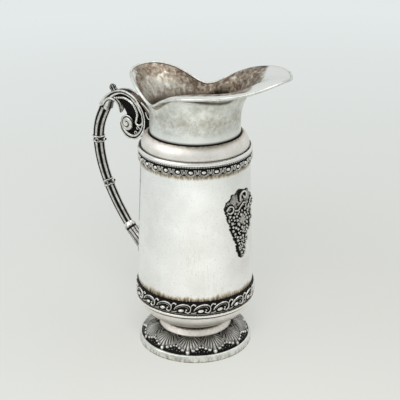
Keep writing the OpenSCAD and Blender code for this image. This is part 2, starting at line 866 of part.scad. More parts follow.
module grape_mount() {
  tendril_z = mount_z + tendril_up * mount_h;
  color("dimgray")
    difference() {
      union() {
        barrel_patch(mount_t) bunch_outline();
        barrel_patch(mount_t + vine_leaf_rise) {
          vine_leaf(-1);
          vine_leaf(1);
        }
        for (i = [0:grape_row_count - 1])
          grape_row(bunch_foot + bunch_span * i / (grape_row_count - 1));
        translate([barrel_r(tendril_z) + fit + mount_t, 0, tendril_z])
          rotate([90, 0, 90])
            bent_tube(0.22 * mount_half, tendril_r, -60, 300);
      }
      barrel_form();
    }
}

foot_rim();
foot_cushion();
leaf_wreath();
foot_stem();
stem_wire();
bowl();
base_bead();
barrel();
lower_band();
upper_band();
upper_wire();
shoulder();
mouth();
rim_wire();
handle_bracket();
thumb_bud();
branch_upper();
knot_upper();
branch_middle();
knot_lower();
branch_lower();
handle_calyx();
grape_mount();
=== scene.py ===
import math

import bmesh
import bpy
import numpy as np
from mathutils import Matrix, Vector


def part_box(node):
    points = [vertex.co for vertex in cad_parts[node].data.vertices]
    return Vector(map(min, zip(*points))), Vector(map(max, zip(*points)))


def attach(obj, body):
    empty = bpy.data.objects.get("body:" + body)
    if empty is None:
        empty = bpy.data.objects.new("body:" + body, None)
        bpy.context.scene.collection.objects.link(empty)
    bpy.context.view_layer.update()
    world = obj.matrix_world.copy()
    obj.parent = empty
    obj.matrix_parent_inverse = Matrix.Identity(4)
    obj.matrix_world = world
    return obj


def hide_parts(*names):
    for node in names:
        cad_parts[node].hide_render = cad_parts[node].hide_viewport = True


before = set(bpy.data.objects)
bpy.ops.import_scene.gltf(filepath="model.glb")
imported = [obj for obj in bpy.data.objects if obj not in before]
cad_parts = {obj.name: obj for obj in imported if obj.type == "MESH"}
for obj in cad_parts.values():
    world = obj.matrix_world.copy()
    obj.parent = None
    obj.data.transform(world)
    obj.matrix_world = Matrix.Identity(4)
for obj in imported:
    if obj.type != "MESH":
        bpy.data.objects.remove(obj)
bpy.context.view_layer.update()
scene = bpy.context.scene
mm = 0.001
print("frame:", len(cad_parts), "nodes")


def level(node, top=False):
    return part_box(node)[int(top)].z / mm


# Sizes of the body in millimetres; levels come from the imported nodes.
body = {
    "wall": 1.0,
    "fit": 0.05,
    "barrelLow": 53.0,
    "barrelHigh": 48.9,
    "neck": 40.2,
    "shoulder": 47.9,
    "shoulderRound": 12.0,
    "shoulderRise": 3.3,
}
wall = body["wall"]
fit = body["fit"]
zBarrel = level("barrel")
zBarrelTop = level("barrel", True)
shoulderCentre = (body["shoulder"] - body["shoulderRound"], zBarrelTop + fit + body["shoulderRise"])
zNeck = shoulderCentre[1] + math.sqrt(body["shoulderRound"] ** 2 - (body["neck"] - shoulderCentre[0]) ** 2)


def barrelRadius(z):
    share = (z - zBarrel) / (zBarrelTop - zBarrel)
    return body["barrelLow"] + (body["barrelHigh"] - body["barrelLow"]) * share


# Soft shapes used all over: a bell, an eased step and the back of a round wire.

def bell(value, centre, width):
    return np.exp(-((value - centre) / width) ** 2)


def smoothStep(value, low, high):
    share = np.clip((value - low) / (high - low), 0, 1)
    return share * share * (3 - 2 * share)


def rounded(off):
    return np.sqrt(np.clip(1 - off ** 2, 0, 1))


# Colours and nodes

def linear(hexColour):
    channels = [int(hexColour[i:i + 2], 16) / 255 for i in (1, 3, 5)]
    return [c / 12.92 if c <= 0.04045 else ((c + 0.055) / 1.055) ** 2.4 for c in channels] + [1]


def addNode(tree, kind, inputs=None, **settings):
    node = tree.nodes.new(kind)
    for key, value in settings.items():
        setattr(node, key, value)
    for key, value in (inputs or {}).items():
        if isinstance(value, bpy.types.NodeSocket):
            tree.links.new(value, node.inputs[key])
        else:
            node.inputs[key].default_value = value
    return node


mixFactor, mixA, mixB, mixOut = 0, 6, 7, 2  # sockets of a Mix node set to colour


# Aged silver: rolled or cast metal under a buffed silver skin. It mirrors its room, greys in soft clouds,
# goes straw and then brown where cloth does not reach, and black with sulphide in the hollows. The same black
# is
# also painted shade under the bead, on the bowl and under the mouth's lip. Three vertex attributes steer it:
# "tarnish" for the film, which is kept low inside the mouth as painted sheen, "recessAndShade" for the
# sulphide and the painted shade, and "buffedAndSheen" for spots rubbed clear of clouds and specks and for the
# painted sheen on the mouth's near lip. Sizes are in millimetres.
def agedSilver(name, look):
    material = bpy.data.materials.new(name)
    material.use_nodes = True
    tree = material.node_tree
    tree.nodes.clear()
    place = addNode(tree, "ShaderNodeTexCoord").outputs["Object"]
    buffedAndSheen = addNode(tree, "ShaderNodeAttribute", attribute_name="buffedAndSheen")
    cloudMost = addNode(tree, "ShaderNodeMath", {
        0: buffedAndSheen.outputs["Fac"], 1: -look["cloudAmount"], 2: look["cloudAmount"]}, operation="MULTIPLY_ADD")
    speckMost = addNode(tree, "ShaderNodeMath", {
        0: buffedAndSheen.outputs["Fac"], 1: -look["speckAmount"], 2: look["speckAmount"]}, operation="MULTIPLY_ADD")
    clouds = addNode(tree, "ShaderNodeTexNoise", {
        "Vector": place, "Scale": 1 / (look["cloudSize"] * mm), "Detail": 4, "Roughness": 0.55})
    cloudMask = addNode(tree, "ShaderNodeMapRange", {
        "Value": clouds.outputs["Fac"], "From Min": 0.38, "From Max": 0.68, "To Max": cloudMost.outputs[0]})
    specks = addNode(tree, "ShaderNodeTexNoise", {
        "Vector": place, "Scale": 1 / (look["speckSize"] * mm), "Detail": 4, "Roughness": 0.7})
    speckMask = addNode(tree, "ShaderNodeMapRange", {
        "Value": specks.outputs["Fac"], "From Min": 0.56, "From Max": 0.72, "To Max": speckMost.outputs[0]})
    # The film breaks up into patches, drawn out upwards where a cloth was wiped that way.
    wiped = addNode(tree, "ShaderNodeMapping", {"Vector": place, "Scale": (1, 1, 1 / look["patchTall"])})
    patches = addNode(tree, "ShaderNodeTexNoise", {
        "Vector": wiped.outputs[0], "Scale": 1 / (look["patchSize"] * mm), "Detail": 5, "Roughness": 0.6,
        "Distortion": 0.3})
    tarnish = addNode(tree, "ShaderNodeAttribute", attribute_name="tarnish")
    broken = addNode(tree, "ShaderNodeMath", {
        0: patches.outputs["Fac"], 1: look["patchSpread"], 2: 1 - look["patchSpread"] / 2},
        operation="MULTIPLY_ADD")
    film = addNode(tree, "ShaderNodeMath", {
        0: broken.outputs[0], 1: tarnish.outputs["Fac"]}, operation="MULTIPLY")
    straw = addNode(tree, "ShaderNodeMapRange", {
        "Value": film.outputs[0], "From Min": 0.12, "From Max": 0.5})
    brown = addNode(tree, "ShaderNodeMapRange", {
        "Value": film.outputs[0], "From Min": 0.42, "From Max": 1.0})
    recessAndShade = addNode(tree, "ShaderNodeAttribute", attribute_name="recessAndShade")
    sulphideAndShade = addNode(tree, "ShaderNodeMapRange", {
        "Value": recessAndShade.outputs["Fac"], "From Min": 0.04, "From Max": 0.65, "To Max": look["sulphideAmount"]})
    colour = addNode(tree, "ShaderNodeMix", {
        mixFactor: cloudMask.outputs["Result"], mixA: linear(look["bright"]), mixB: linear(look["cloud"])},
        data_type="RGBA")
    for mask, tint in ((speckMask, "speck"), (straw, "straw"), (brown, "brown"), (sulphideAndShade, "sulphideAndShade")):
        colour = addNode(tree, "ShaderNodeMix", {
            mixFactor: mask.outputs["Result"], mixA: colour.outputs[mixOut], mixB: linear(look[tint])},
            data_type="RGBA")
    dulled = addNode(tree, "ShaderNodeMath", {
        0: cloudMask.outputs["Result"], 1: straw.outputs["Result"]}, operation="MAXIMUM")
    skin = addNode(tree, "ShaderNodeMapRange", {
        "Value": dulled.outputs[0], "To Min": look["roughBright"], "To Max": look["roughDull"]})
    rough = addNode(tree, "ShaderNodeMapRange", {
        "Value": sulphideAndShade.outputs["Result"], "To Min": skin.outputs["Result"],
        "To Max": look["roughSulphide"]})
    wear = addNode(tree, "ShaderNodeTexNoise", {
        "Vector": place, "Scale": 1 / (look["wearSize"] * mm), "Detail": 3, "Roughness": 0.6})
    bump = addNode(tree, "ShaderNodeBump", {
        "Height": wear.outputs["Fac"], "Strength": look["wearStrength"], "Distance": 0.1 * mm})
    shader = addNode(tree, "ShaderNodeBsdfPrincipled", {
        "Base Color": colour.outputs[mixOut], "Metallic": 1.0, "Roughness": rough.outputs["Result"],
        "Normal": bump.outputs["Normal"]})
    addNode(tree, "ShaderNodeOutputMaterial", {"Surface": shader.outputs["BSDF"]})
    return material


# Spun and buffed plate of the barrel, bead and upper wire: nearly white, faint grey clouds, brown wisps at
# the joints.
plateSilver = agedSilver("buffed_silver_plate", {
    "bright": "#F6F6F5", "cloud": "#DCDCD8", "speck": "#A39E95", "straw": "#B3A590", "brown": "#3D3129",
    "sulphideAndShade": "#171412", "cloudSize": 34, "cloudAmount": 0.6, "speckSize": 1.1, "speckAmount": 0.6,
    "patchSize": 1.3, "patchTall": 6, "patchSpread": 3.2, "sulphideAmount": 0.97,
    "roughBright": 0.14, "roughDull": 0.2, "roughSulphide": 0.5, "wearSize": 4.0, "wearStrength": 0.04,
})

# Hand-raised neck and mouth, with the rim wire and foot rim: cleaned less, so greenish grey outside, with
# straw and brown stains inside.
neckSilver = agedSilver("raised_silver_plate", {
    "bright": "#E9EAE6", "cloud": "#B9BCB1", "speck": "#6E6B62", "straw": "#A99E8D", "brown": "#65544A",
    "sulphideAndShade": "#14110F", "cloudSize": 9, "cloudAmount": 0.7, "speckSize": 1.2, "speckAmount": 0.7,
    "patchSize": 4, "patchTall": 1.1, "patchSpread": 3.4, "sulphideAmount": 0.97,
    "roughBright": 0.3, "roughDull": 0.42, "roughSulphide": 0.5, "wearSize": 2.4, "wearStrength": 0.1,
})

# Stem and its wire, bowl and shoulder: worn to a soft satin, warm and pale, that blurs what it mirrors.
satinSilver = agedSilver("worn_satin_plate", {
    "bright": "#F1EDE7", "cloud": "#D6D2CA", "speck": "#8F8B82", "straw": "#CCC0B2", "brown": "#5A4A3D",
    "sulphideAndShade": "#171412", "cloudSize": 12, "cloudAmount": 0.5, "speckSize": 1.2, "speckAmount": 0.35,
    "patchSize": 2.5, "patchTall": 1, "patchSpread": 2.4, "sulphideAmount": 0.95,
    "roughBright": 0.42, "roughDull": 0.48, "roughSulphide": 0.55, "wearSize": 4.0, "wearStrength": 0.04,
})

# Cast borders, foot cushion and leaves, grape mount: rubbed bright on the tops, sulphide black in the ground.
castSilver = agedSilver("oxidised_cast_silver", {
    "bright": "#F0EEE8", "cloud": "#C6C2B9", "speck": "#8A857C", "straw": "#A39784", "brown": "#5B4B3F",
    "sulphideAndShade": "#0C0B0A", "cloudSize": 6, "cloudAmount": 0.6, "speckSize": 0.9, "speckAmount": 0.4,
    "patchSize": 4, "patchTall": 1, "patchSpread": 1.4, "sulphideAmount": 0.985,
    "roughBright": 0.17, "roughDull": 0.34, "roughSulphide": 0.55, "wearSize": 1.2, "wearStrength": 0.15,
})

# Handle: the same casting, cleaned less, with clouded ridges and deep black between them.
darkSilver = agedSilver("darkened_cast_silver", {
    "bright": "#F0EEE9", "cloud": "#A39E95", "speck": "#5A554E", "straw": "#8D8070", "brown": "#4C4038",
    "sulphideAndShade": "#090808", "cloudSize": 4, "cloudAmount": 0.7, "speckSize": 0.8, "speckAmount": 0.5,
    "patchSize": 3, "patchTall": 1, "patchSpread": 1.4, "sulphideAmount": 0.99,
    "roughBright": 0.2, "roughDull": 0.36, "roughSulphide": 0.5, "wearSize": 1.1, "wearStrength": 0.18,
})
print("materials: buffed, raised and satin plate, cast silver, dark silver")


# Meshes

def addMesh(name, verts, faces, material, tints, sharpAngle=38):
    mesh = bpy.data.meshes.new(name)
    mesh.from_pydata((np.asarray(verts, float).reshape(-1, 3) * mm).tolist(), [], faces)
    for key, values in tints.items():
        layer = mesh.attributes.new(key, "FLOAT", "POINT")
        layer.data.foreach_set("value", np.asarray(values, np.float32).ravel())
    bm = bmesh.new()
    bm.from_mesh(mesh)
    bmesh.ops.remove_doubles(bm, verts=bm.verts, dist=1e-7)
    bmesh.ops.recalc_face_normals(bm, faces=bm.faces)
    bm.to_mesh(mesh)
    bm.free()
    mesh.shade_smooth()
    mesh.set_sharp_from_angle(angle=math.radians(sharpAngle))
    mesh.materials.append(material)
    piece = bpy.data.objects.new(name, mesh)
    scene.collection.objects.link(piece)
    return piece


def settle(piece, slot, *nodes):
    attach(piece, "root")
    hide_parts(*nodes)


# Quads over a grid of rows and columns, closed in either direction where asked.
def gridFaces(rows, columns, loopRows=False, loopColumns=False):
    faces = []
    for i in range(rows if loopRows else rows - 1):
        k = (i + 1) % rows
        for j in range(columns if loopColumns else columns - 1):
            m = (j + 1) % columns
            faces.append((i * columns + j, i * columns + m, k * columns + m, k * columns + j))
    return faces


def arc(centre, radius, start, end, count):
    turn = np.radians(np.linspace(start, end, count))
    return [(centre[0] + radius * math.cos(t), centre[1] + radius * math.sin(t)) for t in turn]


# Slow swells of a hand-worked sheet, at most about 1 in size.
def swells(angle, height, seed, waves=7):
    random = np.random.default_rng(seed)
    total = 0 * angle * height
    for _ in range(waves):
        around = random.integers(2, 9)
        up = random.uniform(0.02, 0.12)
        phase = random.uniform(0, 2 * math.pi)
        total = total + np.sin(around * angle + up * height + phase)
    return total / waves


# Closed outline of (radius, height) points turned round the axis. A tint is a rule of angle, height, radius.
def turned(name, outline, material, swell, seed, tints, segments=224):
    outline = np.array(outline, float)
    angle = np.linspace(0, 2 * math.pi, segments, endpoint=False)[None, :]
    radius = outline[:, :1] + 0 * angle
    height = outline[:, 1:] + 0 * angle
    radius = radius + swell * swells(angle, height, seed) * (radius > 1)
    verts = np.stack([radius * np.cos(angle), radius * np.sin(angle), height], -1)
    values = {key: rule(angle, height, radius) + 0 * radius for key, rule in tints.items()}
    return addMesh(name, verts, gridFaces(len(outline), segments, True, True), material, values)


# Foot and body, turned pieces

foot = {
    "radius": 52.0, "rimHeight": 6.8, "rimWidth": 5.0, "seat": 1.6, "step": 2.0, "edge": 0.5,
    "rimStraight": 1.6, "rimBreak": 3.2, "rimTaper": 0.1, "rimRound": (4, 84), "smudgeTop": 4.5,
    "cushionRound": 16.0, "cushionRise": 9.8,
    "stemRadius": 28.0, "stemCove": 5.6, "stemEdge": 0.8, "stemWire": 1.2,
    "skirtLean": 2.4, "skirtDrop": 2.0, "hollowPull": 0.3,
}
zCushion = foot["rimHeight"] - foot["seat"] + fit
zCushionTop = foot["rimHeight"] + foot["cushionRise"]
cushionRadius = foot["radius"] - foot["step"]
cushionZ = zCushionTop - foot["cushionRound"]
cushionR = cushionRadius - math.sqrt(foot["cushionRound"] ** 2 - (zCushion - cushionZ) ** 2)

inner = foot["radius"] - foot["rimWidth"]
edge = foot["edge"]
rimOutline = [(inner, edge), (inner + edge, 0)]
rimOutline += arc((foot["radius"] - edge, edge), edge, -90, 0, 6)
rimOutline += [(foot["radius"], foot["rimStraight"]), (foot["radius"] - foot["rimTaper"], foot["rimBreak"])]
rimOutline += arc((cushionRadius, foot["rimHeight"] - foot["step"]), foot["step"], *foot["rimRound"], 12)
rimOutline += [(cushionRadius + fit, foot["rimHeight"] - 0.3), (cushionRadius + fit, zCushion)]
rimOutline += [(inner, zCushion)]


# Dark smudges on the outer wall of the rim.
def rimSmudge(angle, height, radius):
    outside = (height < foot["smudgeTop"]) & (radius > cushionRadius)
    return 0.25 * outside * np.clip(swells(11 * angle, height, 14) * 3, 0, 1)


footRim = turned("foot_rim_turned", rimOutline, neckSilver, 0.05, 11, {
    "tarnish": lambda a, z, r: 0.1 + 0.4 * bell(z, 0.4, 0.8),
    "recessAndShade": rimSmudge})
settle(footRim, "worn_silver", "foot_rim")

# The stem is a steep skirt under a short hollow, so that the skirt mirrors the room and the hollow the bowl.
bore = foot["stemRadius"] - wall
stemTop = level("stem_wire") - fit
skirtFoot = np.array([foot["stemRadius"] + foot["stemCove"], zCushionTop + foot["stemEdge"]])
skirtTop = np.array([skirtFoot[0] - foot["skirtLean"], stemTop - foot["skirtDrop"]])
skirtAim = skirtTop - skirtFoot
pull = skirtTop + foot["hollowPull"] * skirtAim
hollowEnd = np.array([foot["stemRadius"], stemTop])
shares = np.linspace(0, 1, 14)[:, None]
stemHollow = (1 - shares) ** 2 * skirtTop + 2 * shares * (1 - shares) * pull + shares ** 2 * hollowEnd
stemOutline = [(bore, zCushionTop), (skirtFoot[0] - 0.3, zCushionTop), (skirtFoot[0], zCushionTop + 0.2)]
stemOutline += [tuple(skirtFoot + s * skirtAim) for s in np.linspace(0, 0.9, 8)]
stemOutline += [tuple(q) for q in stemHollow] + [(bore, stemTop)]
stem = turned("foot_stem_turned", stemOutline, satinSilver, 0.04, 5, {
    "tarnish": lambda a, z, r: 0.22 + 0.4 * bell(z, stemTop, 1.8),
    "recessAndShade": lambda a, z, r: 0.4 * bell(z, stemTop, 1.4)})
settle(stem, "polished_silver", "foot_stem")

zWire = level("stem_wire") + foot["stemWire"]
wireOutline = arc((foot["stemRadius"], zWire), foot["stemWire"], -90, 90, 16)
wireOutline += [(bore, zWire + foot["stemWire"]), (bore, zWire - foot["stemWire"])]
stemWire = turned("stem_wire_turned", wireOutline, satinSilver, 0.02, 3, {
    "tarnish": lambda a, z, r: 0.2,
    "recessAndShade": lambda a, z, r: bell(np.abs(z - zWire), foot["stemWire"], 0.8)})
settle(stemWire, "polished_silver", "stem_wire")

# The bowl carries a dark line of painted shade just under the bead, and is brown inside.
bowl = {"round": 28.0, "sleeve": 5.0, "steps": 70, "lineDrop": 2.2, "lineWidth": 0.8}
zBowl = level("bowl")
bowlFoot = np.array([foot["stemRadius"] + foot["stemWire"] / 2, zBowl])
bowlLip = np.array([body["barrelLow"], zBarrel - fit])
chord = bowlLip - bowlFoot
half = np.linalg.norm(chord) / 2
toCentre = math.sqrt(bowl["round"] ** 2 - half ** 2)
bowlCentre = (bowlFoot + bowlLip) / 2 + toCentre * np.array([-chord[1], chord[0]]) / (2 * half)
aimFoot = math.degrees(math.atan2(*(bowlFoot - bowlCentre)[::-1]))
aimLip = math.degrees(math.atan2(*(bowlLip - bowlCentre)[::-1]))
sleeveTop = bowlLip[1] + bowl["sleeve"]
bowlSleeve = barrelRadius(sleeveTop) - wall - fit
bowlOutline = [(0, zBowl)] + arc(bowlCentre, bowl["round"], aimFoot, aimLip, bowl["steps"])
bowlOutline += [(bowlSleeve, bowlLip[1] - 0.2), (bowlSleeve, sleeveTop), (bowlSleeve - wall, sleeveTop)]
bowlOutline += arc(bowlCentre, bowl["round"] - wall, aimLip - 1.2, aimFoot + 3.4, bowl["steps"])
bowlOutline += [(0, zBowl + wall)]


def bowlTarnish(angle, height, radius):
    inside = np.hypot(radius - bowlCentre[0], height - bowlCentre[1]) < bowl["round"] - wall / 2
    return 0.1 + 0.65 * inside


def bowlShadeAndJoint(angle, height, radius):
    # Painted shade in a line under the bead, and a dark joint at the bowl's foot.
    line = bell(height, bowlLip[1] - bowl["lineDrop"], bowl["lineWidth"]) * (radius > bowlSleeve - wall)
    return 0.95 * line + 0.6 * bell(height, zBowl, 0.5)


bowlPiece = turned("bowl_spun", bowlOutline, satinSilver, 0.05, 8, {
    "tarnish": bowlTarnish, "recessAndShade": bowlShadeAndJoint})
settle(bowlPiece, "polished_silver", "bowl")

bead = {"radius": 1.5}
beadOutline = arc((body["barrelLow"] + fit, zBarrel), bead["radius"], -90, 90, 22)
# Bead: its underside is darkened as painted shade, and it is brown along its top against the barrel.
beadPiece = turned("base_bead_wire", beadOutline, plateSilver, 0.03, 4, {
    "tarnish": lambda a, z, r: 0.9 * bell(z, zBarrel + bead["radius"], 0.6),
    "recessAndShade": lambda a, z, r: 0.75 * np.clip((zBarrel - 0.7 - z) / 0.6, 0, 1)})
settle(beadPiece, "polished_silver", "base_bead")

barrel = {"rows": 120, "segments": 288, "fringe": 6.5, "upperFringe": 4.0, "upperDrop": 1.8}
zLowerTop = level("lower_band", True)
zUpperLow = level("upper_band")
zUpperTop = level("upper_band", True)


# Brown fringes where polish never reached, above the lower border and below the upper one, and faint wear.
def barrelTarnish(angle, height, radius):
    ragged = 1 + 0.3 * np.sin(7 * angle + 1) * np.sin(3 * angle)
    ragged = ragged + 0.12 * np.sin(53 * angle + 3 * np.sin(9 * angle))
    low = np.clip(1 - (height - zLowerTop) / (barrel["fringe"] * ragged), 0, 1) ** 1.2
    high = 0.7 * np.clip(1 - (zUpperLow - barrel["upperDrop"] - height) / barrel["upperFringe"], 0, 1)
    inside = 0.8 * (radius < barrelRadius(height) - 0.6 * wall)
    wear = 0.08 + 0.05 * np.clip(2 * swells(angle, height, 21), 0, 1)
    return np.maximum.reduce([low, high, inside, wear])


wallLevels = np.linspace(zBarrel, zBarrelTop, barrel["rows"])
barrelOutline = [(barrelRadius(z), z) for z in wallLevels]
barrelOutline += [(barrelRadius(z) - wall, z) for z in wallLevels[::-1]]
barrelPiece = turned("barrel_spun", barrelOutline, plateSilver, 0.09, 2, {"tarnish": barrelTarnish},
                     barrel["segments"])
settle(barrelPiece, "polished_silver", "barrel")

upperWire = {"radius": 2.0}
wireSeat = (barrelRadius(zUpperTop) + fit, zBarrelTop)
upperWirePiece = turned("upper_wire_drawn", arc(wireSeat, upperWire["radius"], -90, 90, 18), plateSilver,
                        0.03, 7, {"tarnish": lambda a, z, r: 0.8 * bell(r, wireSeat[0], 0.45)})
settle(upperWirePiece, "polished_silver", "upper_wire")

# The shoulder turns down into a black groove where it meets the neck.
shoulder = {"sleeve": 5.0, "footEdge": 0.3, "footRise": 1.6, "grooveWidth": 1.6, "grooveDepth": 0.7}
zShoulder = zBarrelTop + fit
shoulderSleeve = body["barrelHigh"] - wall - fit
neckR = body["neck"]
grooveShare = (neckR + shoulder["grooveWidth"] - shoulderCentre[0]) / body["shoulderRound"]
grooveAim = math.degrees(math.acos(grooveShare))
grooveTop = shoulderCentre[1] + body["shoulderRound"] * math.sin(math.radians(grooveAim))
grooveZ = grooveTop - shoulder["grooveDepth"]
shoulderOutline = [(shoulderSleeve, zShoulder - shoulder["sleeve"]), (shoulderSleeve, zShoulder)]
shoulderOutline += [(body["shoulder"] - 0.2, zShoulder), (body["shoulder"], zShoulder + shoulder["footEdge"])]
shoulderOutline += [(body["shoulder"], zShoulder + shoulder["footRise"])]
shoulderOutline += arc(shoulderCentre, body["shoulderRound"], 0, grooveAim, 30)
shoulderOutline += [(neckR + 0.75 * shoulder["grooveWidth"], grooveZ + 0.35 * shoulder["grooveDepth"])]
shoulderOutline += [(neckR + 0.45 * shoulder["grooveWidth"], grooveZ), (neckR + fit, grooveZ)]
shoulderOutline += [(neckR + fit, grooveZ - wall)]
shoulderOutline += arc(shoulderCentre, body["shoulderRound"] - wall, grooveAim - 12, 0, 26)
shoulderOutline += [(shoulderSleeve - wall, zShoulder)]
shoulderOutline += [(shoulderSleeve - wall, zShoulder - shoulder["sleeve"])]


def shoulderRecess(angle, height, radius):
    groove = radius < neckR + 0.7 * shoulder["grooveWidth"]
    footLine = bell(height, zShoulder + shoulder["footEdge"], 1.0) * (radius > neckR + 4)
    return groove + footLine


shoulderPiece = turned("shoulder_spun", shoulderOutline, satinSilver, 0.05, 6, {
    "tarnish": lambda a, z, r: 0.8 * bell(r, neckR, 3.2) + 0.8 * bell(z, zShoulder, 2.0),
    "recessAndShade": shoulderRecess})
settle(shoulderPiece, "polished_silver", "shoulder")
print("turned pieces: foot rim, stem, wires, bowl, bead, barrel, shoulder")


# Relief drawing on flat coordinates, in millimetres

def smoothLine(points, count=40):
    points = np.array(points, float)
    padded = np.vstack([2 * points[0] - points[1], points, 2 * points[-1] - points[-2]])
    line = []
    for t in np.linspace(0, len(points) - 1 - 1e-9, count):
        i = int(t)
        s = t - i
        a, b, c, d = padded[i:i + 4]
        square = 2 * a - 5 * b + 4 * c - d
        cube = 3 * b - a - 3 * c + d
        line.append(0.5 * (2 * b + (c - a) * s + square * s ** 2 + cube * s ** 3))
    return np.array(line)


# Round-backed ridge along a line, its half width running from w0 to w1.
def ridge(x, y, points, w0, w1, height, count=40):
    line = smoothLine(points, count)
    widths = np.linspace(w0, w1, len(line))
    best = np.full(np.shape(x), 9.0)
    for i in range(len(line) - 1):
        p, d = line[i], line[i + 1] - line[i]
        t = np.clip(((x - p[0]) * d[0] + (y - p[1]) * d[1]) / (d @ d + 1e-12), 0, 1)
        away = np.hypot(x - p[0] - t * d[0], y - p[1] - t * d[1])
        best = np.minimum(best, away / (widths[i] + (widths[i + 1] - widths[i]) * t))
    return height * rounded(best)


def boss(x, y, centre, a, b, height, turn=0.0):
    c, s = math.cos(math.radians(turn)), math.sin(math.radians(turn))
    u = ((x - centre[0]) * c + (y - centre[1]) * s) / a
    v = ((y - centre[1]) * c - (x - centre[0]) * s) / b
    return height * np.sqrt(np.clip(1 - u * u - v * v, 0, 1))


# How sunken each spot of a relief is, from its own height and that of its surroundings.
def sunken(height, full, reach=3):
    around = height.copy()
    for step in range(1, reach + 1):
        for axis in (0, 1):
            around = around + np.roll(height, step, axis) + np.roll(height, -step, axis)
    around = around / (1 + 4 * reach)
    low = np.clip(1 - height / (0.6 * full), 0, 1)
    hollow = np.clip((around - height) / (0.22 * full), 0, 1)
    return np.clip(0.85 * low + 0.6 * hollow, 0, 1)


# Closed shell over the kept cells of a grid: its skin, its sole and the walls between them.
def shell(name, skin, sole, keep, depth, material, loopColumns=False, sharpAngle=75):
    rows, columns = keep.shape
    flat = keep.ravel()
    cells = [face for face in gridFaces(rows, columns, False, loopColumns) if all(flat[i] for i in face)]
    below = rows * columns
    rim = {}
    for face in cells:
        for i, j in zip(face, face[1:] + face[:1]):
            if rim.pop((j, i), None) is None:
                rim[(i, j)] = True
    faces = cells + [tuple(below + i for i in face[::-1]) for face in cells]
    faces += [(j, i, below + i, below + j) for i, j in rim]
    verts = np.concatenate([skin.reshape(-1, 3), sole.reshape(-1, 3)])
    recessAndShade = np.concatenate([depth.ravel(), np.ones(below)])
    used = np.zeros(2 * below, bool)
    used[[i for face in faces for i in face]] = True
    renumber = np.cumsum(used) - 1
    faces = [tuple(int(renumber[i]) for i in face) for face in faces]
    return addMesh(name, verts[used], faces, material, {"recessAndShade": recessAndShade[used]}, sharpAngle)


# A border of repeated units round the barrel, with its back against the wall and its edges gently waved.
def borderRing(name, border, zLow, zHigh, relief):
    units, columns, rows = border["units"], border["columns"], border["rows"]
    pitch = 2 * math.pi * (barrelRadius((zLow + zHigh) / 2) + border["strip"]) / units
    x = np.linspace(-pitch / 2, pitch / 2, columns, endpoint=False)[None, :]
    y = np.linspace(-0.5, 0.5, rows)[:, None] * (zHigh - zLow)
    height = np.tile(relief(x + 0 * y, y + 0 * x, pitch), (1, units))
    turn = (np.arange(columns * units) / columns - 0.5)[None, :] * 2 * math.pi / units
    angle = turn + math.radians(border["offset"])
    share = y / (zHigh - zLow)
    z = zLow + (y - y[0]) + 0 * angle
    z = z + border["topWave"] * np.clip(5 * (share - 0.3), 0, 1) * np.abs(np.sin(2 * units * turn))
    z = z + border["footWave"] * np.clip(5 * (-0.3 - share), 0, 1) * np.abs(np.sin(0.5 * units * turn))
    radius = barrelRadius(z) + fit + border["strip"] + height
    back = barrelRadius(z) - 0.3
    radius = np.vstack([back[:1], radius, back[-1:]])
    z = np.vstack([z[:1], z, z[-1:]])
    verts = np.stack([radius * np.cos(angle), radius * np.sin(angle), z], -1)
    depth = np.ones(z.shape)
    depth[1:-1] = np.clip(1.15 * sunken(height, border["full"]) + border["shade"], 0, 1)
    faces = gridFaces(rows + 2, columns * units, True, True)
    return addMesh(name, verts, faces, castSilver, {"recessAndShade": depth}, 60)


# Lower border: running scrolls, each over an oval berry
lowerBorder = {
    "units": 19, "offset": -8.5, "strip": 0.5, "full": 1.7, "columns": 72, "rows": 52,
    "topWave": 0.5, "footWave": 0.0, "shade": 0.1,
    # strokes as path, half width at both ends, height
    "strokes": [
        ([(-6.3, -1.6), (-4.6, 0.9), (-1.2, 3.0), (2.6, 3.8), (6.2, 3.2), (8.3, 0.8), (8.0, -2.4),
          (6.0, -4.1), (4.4, -3.4)], 0.62, 0.6, 1.5),
        ([(-4.6, -1.0), (-1.6, 1.1), (2.2, 2.0), (5.4, 1.3), (6.4, -0.6)], 0.34, 0.4, 0.9),
        ([(-9.6, 0.2), (-8.4, 2.9), (-6.6, 4.0), (-5.2, 3.4)], 0.45, 0.7, 1.2),
        ([(-8.8, -4.2), (-6.6, -4.4), (-4.6, -3.6)], 0.5, 0.8, 0.9),
    ],
    # berries as place, half length, half width, height, turn
    "berries": [((-0.3, -2.4), 2.9, 1.6, 1.8, 10), ((4.6, -1.5), 1.0, 1.0, 1.2, 0),
                ((-5.1, 3.3), 1.0, 1.0, 1.5, 0), ((3.9, -3.3), 0.9, 0.9, 1.3, 0)],
    "footLine": -5.5, "footLineWidth": 0.4, "footLineRise": 0.7,
}


def lowerRelief(x, y, pitch):
    fromLine = (y - lowerBorder["footLine"]) / lowerBorder["footLineWidth"]
    height = lowerBorder["footLineRise"] * rounded(fromLine)
    for shift in (-pitch, 0, pitch):
        for path, w0, w1, tall in lowerBorder["strokes"]:
            height = np.maximum(height, ridge(x + shift, y, path, w0, w1, tall))
        for centre, a, b, tall, turn in lowerBorder["berries"]:
            height = np.maximum(height, boss(x + shift, y, centre, a, b, tall, turn))
    return height


lowerPiece = borderRing("lower_border_cast", lowerBorder, level("lower_band"), zLowerTop, lowerRelief)
settle(lowerPiece, "oxidised_silver", "lower_band")

# Upper border: eggs in cups with darts between, and a fine milled line along both edges
upperBorder = {
    "units": 28, "offset": -4.9, "strip": 0.5, "full": 1.5, "columns": 56, "rows": 52,
    "topWave": 0.25, "footWave": 0.9, "shade": 0.12, "drop": 1.6,
    # cups round each egg as half width, height and rise, open above their brim and curled there
    "egg": (2.2, 1.6), "eggDrop": 0.3, "eggRise": 1.7, "cups": ((3.5, 3.1, 1.1), (4.8, 4.0, 0.9)),
    "cupWidth": 0.42, "brim": 1.6, "curl": 0.7, "dart": (0.5, 1.5), "dartDrop": 0.8, "dartRise": 1.2,
    "teeth": 5, "edge": 4.0, "topLine": 0.5, "footLine": 0.45,
}


